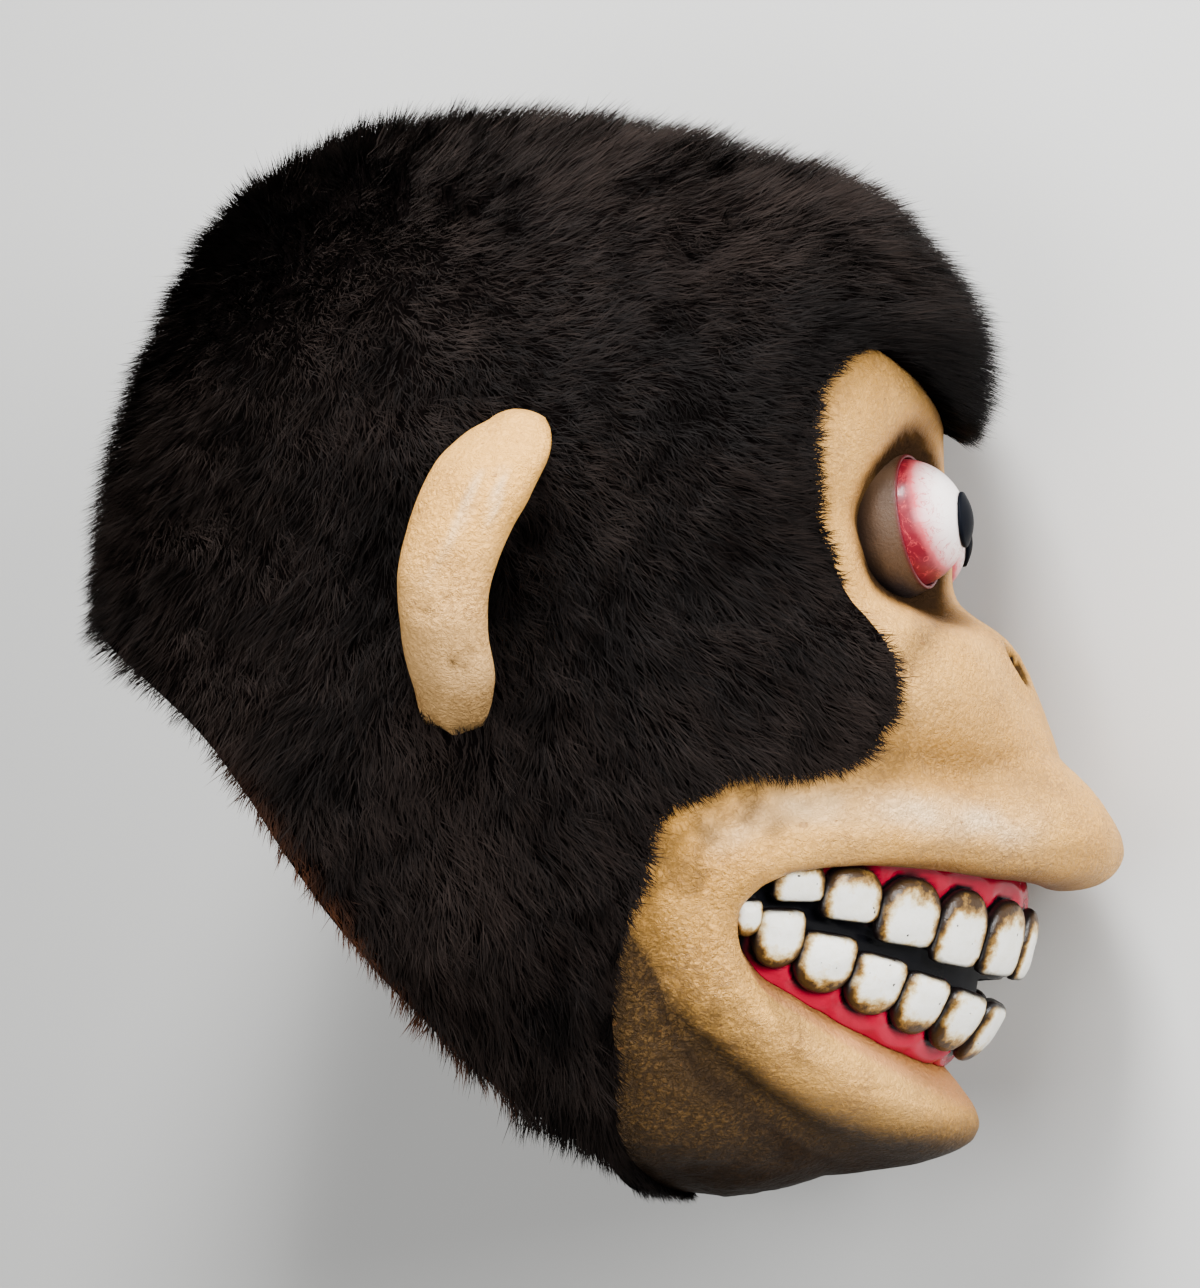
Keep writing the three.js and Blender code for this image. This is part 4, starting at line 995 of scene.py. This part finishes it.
# Two low folds run down the rim, with pits in the lobe below them: x, y, width and depth of each.
FOLDS = (((-21, 40, 0.4), (-23.5, 33, 1), (-25.5, 27, 0.8), (-30, 18, 0.35), (-36, 9, 0.15)),
         ((-14.6, 41, 0.4), (-15.6, 35, 1), (-17, 29, 0.7), (-19, 24, 0.1)))
PITS = ((-36, 2, 1.1, 0.7), (-34.5, 0.5, 0.9, 0.6), (-29.5, 5.5, 1.0, 0.8), (-29, -12, 1.7, 1.1),
        (-26, -13.5, 1.2, 0.8), (-33.5, -18, 0.8, 0.5), (-24, -9, 1.0, 0.5))
ear_x, ear_y = ear_points[..., 0], ear_points[..., 1]
from_folds = [from_line(ear_points[..., :2], line) for line in FOLDS]
fold = sum(strength * np.exp(-(gap / 1.3)**2) for gap, strength in from_folds)
pits = sum(deep * np.exp(-(np.hypot(ear_x - x, ear_y - y) / wide)**2) for x, y, wide, deep in PITS)
centre = ear_points.mean(0, keepdims=True)
outer_face = smooth(ear_points[..., 2] - centre[..., 2], 0, 8)
lumps = cloud(ear_points, 14, 2)[..., 0] * 0.6 + cloud(ear_points, 3.4, 2)[..., 1] * 0.07
ear_points = ear_points + unit(ear_points - centre) * (lumps + outer_face * (1.5 * fold - pits))[..., None]
clear = ear_points[..., 2] - base_height(ear_points[..., 0], ear_points[..., 1])
# Brown painted shade where the ear meets the fur and in the pits of the lobe.
ear_painted_shade = np.clip(0.6 * (1 - smooth(clear, 3, 6)) + 0.75 * pits * outer_face, 0, 1)
# Pale painted highlights on the folds, and painted light on the lower ear.
ear_painted_highlight = np.clip(0.7 * fold * outer_face + 0.3 * (1 - smooth(ear_points[..., 1], -20, 32)), 0, 1)
# Brown painted shade in the hollow at the front of the ear.
inside_cup = smooth(ear_points[..., 0] - centre[..., 0], -2, 2) * (1 - smooth(clear, 14, 30)) * 0.5
ear_marks = dict(brown_stain_and_painted_shade=np.maximum(ear_painted_shade, inside_cup), rubbed_in_and_painted_highlight=ear_painted_highlight, warm=np.full(ear_painted_shade.shape, 0.95),
                 black_paint_and_painted_shade=np.zeros(ear_painted_shade.shape), blush_and_painted_shade=np.zeros(ear_painted_shade.shape))
ear_faces = ring_faces(*ear_points.shape[:2])
for side_name, s in (("right", 1.0), ("left", -1.0)):
    ear = make_piece(side_name + "_ear", ear_points * (1, 1, s), ear_faces, LATEX_PAINT, ear_marks,
                     weld=1e-6)
    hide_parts("latex_head")

# Fur
# Long-pile synthetic fur on a knitted backing, glued on in one cover with holes for the ears.
# The pile is brushed away from the crown: forward over the brow and cheeks, down at the back.
PILE = dict(full=12, edge=6, brow=17, brow_edge=12.5, throat=4, thin=4)
FLOOR_GAP = 0.0004


def pile(t, v):
    """Height of the pile: short at the face's edge, long over the brow, thin at the throat and the hem."""
    brow = 1 - smooth(t, 0.08, 0.16)
    throat = smooth(t, 0.8, 0.97)
    edge = (PILE["edge"] + (PILE["brow_edge"] - PILE["edge"]) * brow) * (1 - 0.4 * throat)
    long = PILE["full"] + (PILE["brow"] - PILE["full"]) * brow * (1 - smooth(v, 1.06, 1.17))
    full = long + (PILE["throat"] - long) * throat
    grown = smooth(v, 1, 1.14 - 0.09 * brow)
    return edge + (full - edge) * grown - PILE["thin"] * smooth(v, 1.8, 2) * (1 - throat)


def fur_material(name, pale, dark, sheen):
    """Dull hair: rise goes from a black root to the tip, shade from dark to pale for tone and painted light,
    rust to rusty brown.
    """
    material, tree, shader = new_paint(name)
    tip = blend_colour(tree, attribute(tree, "shade"), dark, pale)
    colour = blend_colour(tree, attribute(tree, "rise"), (0.0015, 0.001, 0.001, 1), tip)
    colour = blend_colour(tree, attribute(tree, "rust"), colour, (0.11, 0.035, 0.012, 1))
    plug(tree, shader, {"Base Color": colour, "Roughness": 0.75, "Specular IOR Level": sheen})
    return material


HAIR = fur_material("dark_fur", (0.0175, 0.0112, 0.0088, 1), (0.0030, 0.0020, 0.0017, 1), 0.08)
BACKING = fur_material("fur_backing", (0.004, 0.003, 0.0028, 1), (0.002, 0.0015, 0.0014, 1), 0.0)

# The backing, with the dense lower part of the pile
FUR_HALF = 110
FUR_ROWS = np.linspace(1, 2, 60)
fur_t, fur_v, fur_sided = round_grid(FUR_HALF, FUR_ROWS)
under = skin(fur_t, fur_v) * fur_sided
normal = skin_normal(fur_t, fur_v) * fur_sided
uneven = 1 + 0.15 * cloud(under, 10, 2)[..., 0]
dense = under + normal * (FIT_GAP + 0.34 * pile(fur_t, fur_v) * uneven)[..., None]
pelt = lay(np.concatenate([under + normal * FIT_GAP, dense[:, ::-1]], 1).reshape(-1, 3))
pelt[:, 2] = np.maximum(pelt[:, 2], FLOOR_GAP)
plain = np.zeros(len(pelt))
pelt_faces = ring_faces(2 * FUR_HALF, 2 * len(FUR_ROWS), True)
backing = make_piece("fur_backing", pelt, pelt_faces, BACKING,
                     dict(shade=plain + 0.3, rise=plain + 0.6, rust=plain), laid=False)
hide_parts("fur_cover")

# The hair, spread evenly by area but closer at the face's edge, and kept in order from the brow to the throat
WHORL = unit(np.array([-0.62, 0.78, 0.0]))
HAIRS = 228000
rng = np.random.default_rng(21)
away = unit(under) - WHORL
flow = away - normal * (away * normal).sum(-1, keepdims=True)
flow = unit(flow + 1e-6)
area = np.linalg.norm(np.cross((np.roll(under, -1, 0) - under)[:, :-1], np.diff(under, axis=1)), axis=-1)
area = area * (1 + 1.4 * np.exp(-np.arange(area.shape[1]) / 1.2))
order = np.sort(rng.random(HAIRS))
by_station = np.argsort(fur_t[:, 0], kind="stable")
filled = np.cumsum(area[by_station].sum(1))
column = by_station[np.clip(np.searchsorted(filled, order * filled[-1]), 0, 2 * FUR_HALF - 1)]
filled_rows = np.cumsum(area, 1) / area.sum(1, keepdims=True)
pick = rng.random(HAIRS)
row = (filled_rows[column] < pick[:, None]).sum(1)
across_cell, up_cell = rng.random(HAIRS), rng.random(HAIRS)
next_column = (column + 1) % (2 * FUR_HALF)


def at_root(grid):
    """Values of a grid of the fur's base at the hair roots, straight between its points."""
    a, b = (across_cell[:, None], up_cell[:, None]) if grid.ndim == 3 else (across_cell, up_cell)
    low = grid[column, row] * (1 - a) + grid[next_column, row] * a
    high = grid[column, row + 1] * (1 - a) + grid[next_column, row + 1] * a
    return low * (1 - b) + high * b


root, n, f = at_root(under), unit(at_root(normal)), unit(at_root(flow))
tall, v_root, t_root = at_root(pile(fur_t, fur_v)), at_root(fur_v), at_root(fur_t)
ear_back = np.interp(root[:, 1], EAR[:, 0], EAR[:, 1])
under_ear = ((np.abs(root[:, 2]) > 60) & (root[:, 1] > -31) & (root[:, 1] < 58)
             & (root[:, 0] > ear_back + 3) & (root[:, 0] < ear_back + 17))
root, n, f, tall, v_root, t_root = (a[~under_ear] for a in (root, n, f, tall, v_root, t_root))
count = len(root)
tuft = cloud(root, 7, 2)
wisp = cloud(root, 2.6, 1)
broad = cloud(root, 34, 2)
swirl = np.cross(n, f)
turn_by = 0.5 * broad[:, 0] + 0.4 * tuft[:, 0] + 0.3 * wisp[:, 0] + 0.26 * rng.standard_normal(count)
turn_by += 0.5 * rng.standard_normal(count) * (1 - smooth(v_root, 1.0, 1.06))
f = unit(f * np.cos(turn_by)[:, None] + swirl * np.sin(turn_by)[:, None])
below_ear = (np.abs(root[:, 2]) > 60) & (np.abs(root[:, 1] + 36) < 5) & (np.abs(root[:, 0] + 31) < 13)
below_ear &= rng.random(count) < 0.4
f = np.where(below_ear[:, None], unit(f * (1, -0.6, 1) + (0, 1.2, 0)), f)
# Hairs stand up at the whorl, where they part, and at the brow's edge, where they are clipped.
from_whorl = np.arccos(np.clip(unit(root) @ WHORL, -1, 1))
at_brow = (1 - smooth(t_root, 0.10, 0.17)) * (1 - smooth(v_root, 1.03, 1.16))
flat = (0.6 + 0.4 * smooth(from_whorl, 0.0, 0.2)) * (1 - 0.5 * at_brow)
root_lean = np.radians(23 + 15 * broad[:, 1] + 8 * tuft[:, 1] + 8 * rng.standard_normal(count)) * flat
tip_lean = np.radians(59 + 12 * tuft[:, 1] + 7 * rng.standard_normal(count)) * flat
ragged = 1 + 0.14 * tuft[:, 2] + 0.12 * wisp[:, 1] + 0.11 * rng.standard_normal(count)
reach = np.clip(tall * ragged * (1.16 - 0.12 * at_brow), 4, 23)
bend = np.maximum(tip_lean - root_lean, 0.15)
stops = np.array([0, 0.5, 1.0])
angle = root_lean[:, None] + bend[:, None] * stops
rise = (np.sin(angle) - np.sin(root_lean)[:, None]) / bend[:, None]
run = (np.cos(root_lean)[:, None] - np.cos(angle)) / bend[:, None]
spine = root[:, None] + reach[:, None, None] * (n[:, None] * rise[..., None] + f[:, None] * run[..., None])
stray = tuft[:, None] * 1.2 + wisp[:, None] * 1.0 + rng.standard_normal((count, 1, 3)) * 0.4
spine += stray * (stops**2)[:, None]
broadside = unit(np.cross(f, n) + 0.3 * rng.standard_normal((count, 3)))
width = np.array([0.19, 0.15]) * rng.uniform(0.7, 1.3, (count, 1))
left = spine[:, :2] + broadside[:, None] * width[..., None]
right = spine[:, :2] - broadside[:, None] * width[..., None]
hair = np.stack([left[:, 0], right[:, 0], left[:, 1], right[:, 1], spine[:, 2]], 1)
hair = lay(hair.reshape(-1, 3)).reshape(count, 5, 3)
hair[..., 2] = np.maximum(hair[..., 2], FLOOR_GAP + rng.uniform(0, 0.0012, (count, 1)))
# Tip shade: random by tuft and hair, with painted light over it: paler where the fur faces up, darker on the
# brow, and paler at the back and the throat.
sun = smooth(n[:, 1], 0.2, 0.95)
at_back, at_throat = smooth(-root[:, 0], 50, 120), smooth(-root[:, 1], 40, 100)
shade = np.clip(0.2 + 0.36 * sun - 0.45 * at_brow + 0.5 * at_back + 0.35 * at_throat
                + 0.36 * broad[:, 2] + 0.3 * tuft[:, 0] + 0.2 * rng.standard_normal(count), 0, 1)
rust = smooth(v_root, 1.86, 2.0) * smooth(t_root, 0.45, 0.6) * (1 - smooth(t_root, 0.8, 0.95)) * 0.7
blade = np.array([(0, 2, 3), (0, 3, 1), (2, 4, 3)])
# The light falls on a tuft as on one soft surface, so each hair is shaded by the lie of its tuft.
lie = unit(n * 1.1 + np.cross(broadside, spine[:, 2] - spine[:, 0]) * 0.02 + tuft * 0.55 + broad * 0.35
           + wisp * 0.35 + 0.18 * rng.standard_normal((count, 3))) @ LAID.T
lots = np.array_split(np.arange(count), 4)
for name, lot in zip(("fur_brow_and_crown", "fur_temples", "fur_cheeks", "fur_jaw_and_nape"), lots):
    faces = (blade + 5 * np.arange(len(lot))[:, None, None]).reshape(-1, 3)
    marks = dict(shade=np.repeat(shade[lot], 5), rise=np.tile([0, 0, .6, .6, 1.0], len(lot)),
                 rust=np.repeat(rust[lot], 5))
    lot_of_hair = make_piece(name, hair[lot], faces, HAIR, marks, laid=False, turn=False)
    lot_of_hair.data.normals_split_custom_set_from_vertices(np.repeat(lie[lot], 5, axis=0))
    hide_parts("fur_cover")

# Studio
# A plain pale floor, one big soft light from the crown's side, fills from the face's and the nape's side,
# and a camera that looks down at the lying mask as the photograph looks at its right side.
FLOOR_REACH = 12.0
corners = [(x * FLOOR_REACH, y * FLOOR_REACH, 0) for x, y in ((-1, -1), (1, -1), (1, 1), (-1, 1))]
floor_mesh = bpy.data.meshes.new("floor")
floor_mesh.from_pydata(corners, [], [(0, 1, 2, 3)])
floor = bpy.data.objects.new("floor", floor_mesh)
bpy.context.scene.collection.objects.link(floor)
pale_floor, floor_tree, floor_shader = new_paint("pale_floor")
plug(floor_tree, floor_shader, {"Base Color": (0.50, 0.50, 0.49, 1), "Roughness": 0.85})
floor_mesh.materials.append(pale_floor)

VIEW_YAW, VIEW_PITCH = np.radians(5.0), np.radians(-3.0)
VIEW_FROM, MM_PER_PIXEL, PIXELS_ACROSS = 1250.0, 0.31, 1200
level_share = np.cos(VIEW_PITCH)
back = np.array([np.sin(VIEW_YAW) * level_share, np.sin(VIEW_PITCH), np.cos(VIEW_YAW) * level_share])
right_way = np.array([np.cos(VIEW_YAW), 0, -np.sin(VIEW_YAW)])
up = np.cross(back, right_way)


def aim(thing, at, x, y, z):
    """Sets a camera or light by its place and its own axes, given as worn directions."""
    m = Matrix.Identity(4)
    for k, axis in enumerate((x, y, z)):
        m.col[k][:3] = LAID @ axis
    m.col[3][:3] = at
    thing.matrix_world = m


camera = bpy.data.objects.new("camera", bpy.data.cameras.new("camera"))
bpy.context.scene.collection.objects.link(camera)
camera.data.sensor_fit = "HORIZONTAL"
camera.data.sensor_width = 36.0
camera.data.lens = 36.0 * VIEW_FROM / MM_PER_PIXEL / PIXELS_ACROSS
camera.data.clip_start, camera.data.clip_end = 0.05, 50
aim(camera, lay(back * VIEW_FROM), right_way, up, back)
bpy.context.scene.camera = camera


def soft_light(name, toward, distance, size, power):
    """Square soft light: toward in right, up and back shares of the view, distance in mm, size in metres."""
    light = bpy.data.lights.new(name, "AREA")
    light.size, light.energy = size, power
    lamp = bpy.data.objects.new(name, light)
    bpy.context.scene.collection.objects.link(lamp)
    z = unit(toward[0] * right_way + toward[1] * up + toward[2] * back)
    x = unit(np.cross((up if abs(z @ up) < 0.9 else right_way), z))
    aim(lamp, lay(z * distance), x, np.cross(z, x), z)


soft_light("key", (-0.10, 0.96, 0.55), 1300, 0.42, 60)
soft_light("fill", (0.55, 0.3, 0.9), 1500, 0.6, 40)
soft_light("back_fill", (-0.6, -0.1, 1.0), 1500, 0.9, 20)
world = bpy.data.worlds.new("studio")
bpy.context.scene.world = world
world.use_nodes = True
world.node_tree.nodes["Background"].inputs[0].default_value = (1, 1, 1, 1)
world.node_tree.nodes["Background"].inputs[1].default_value = 0.18
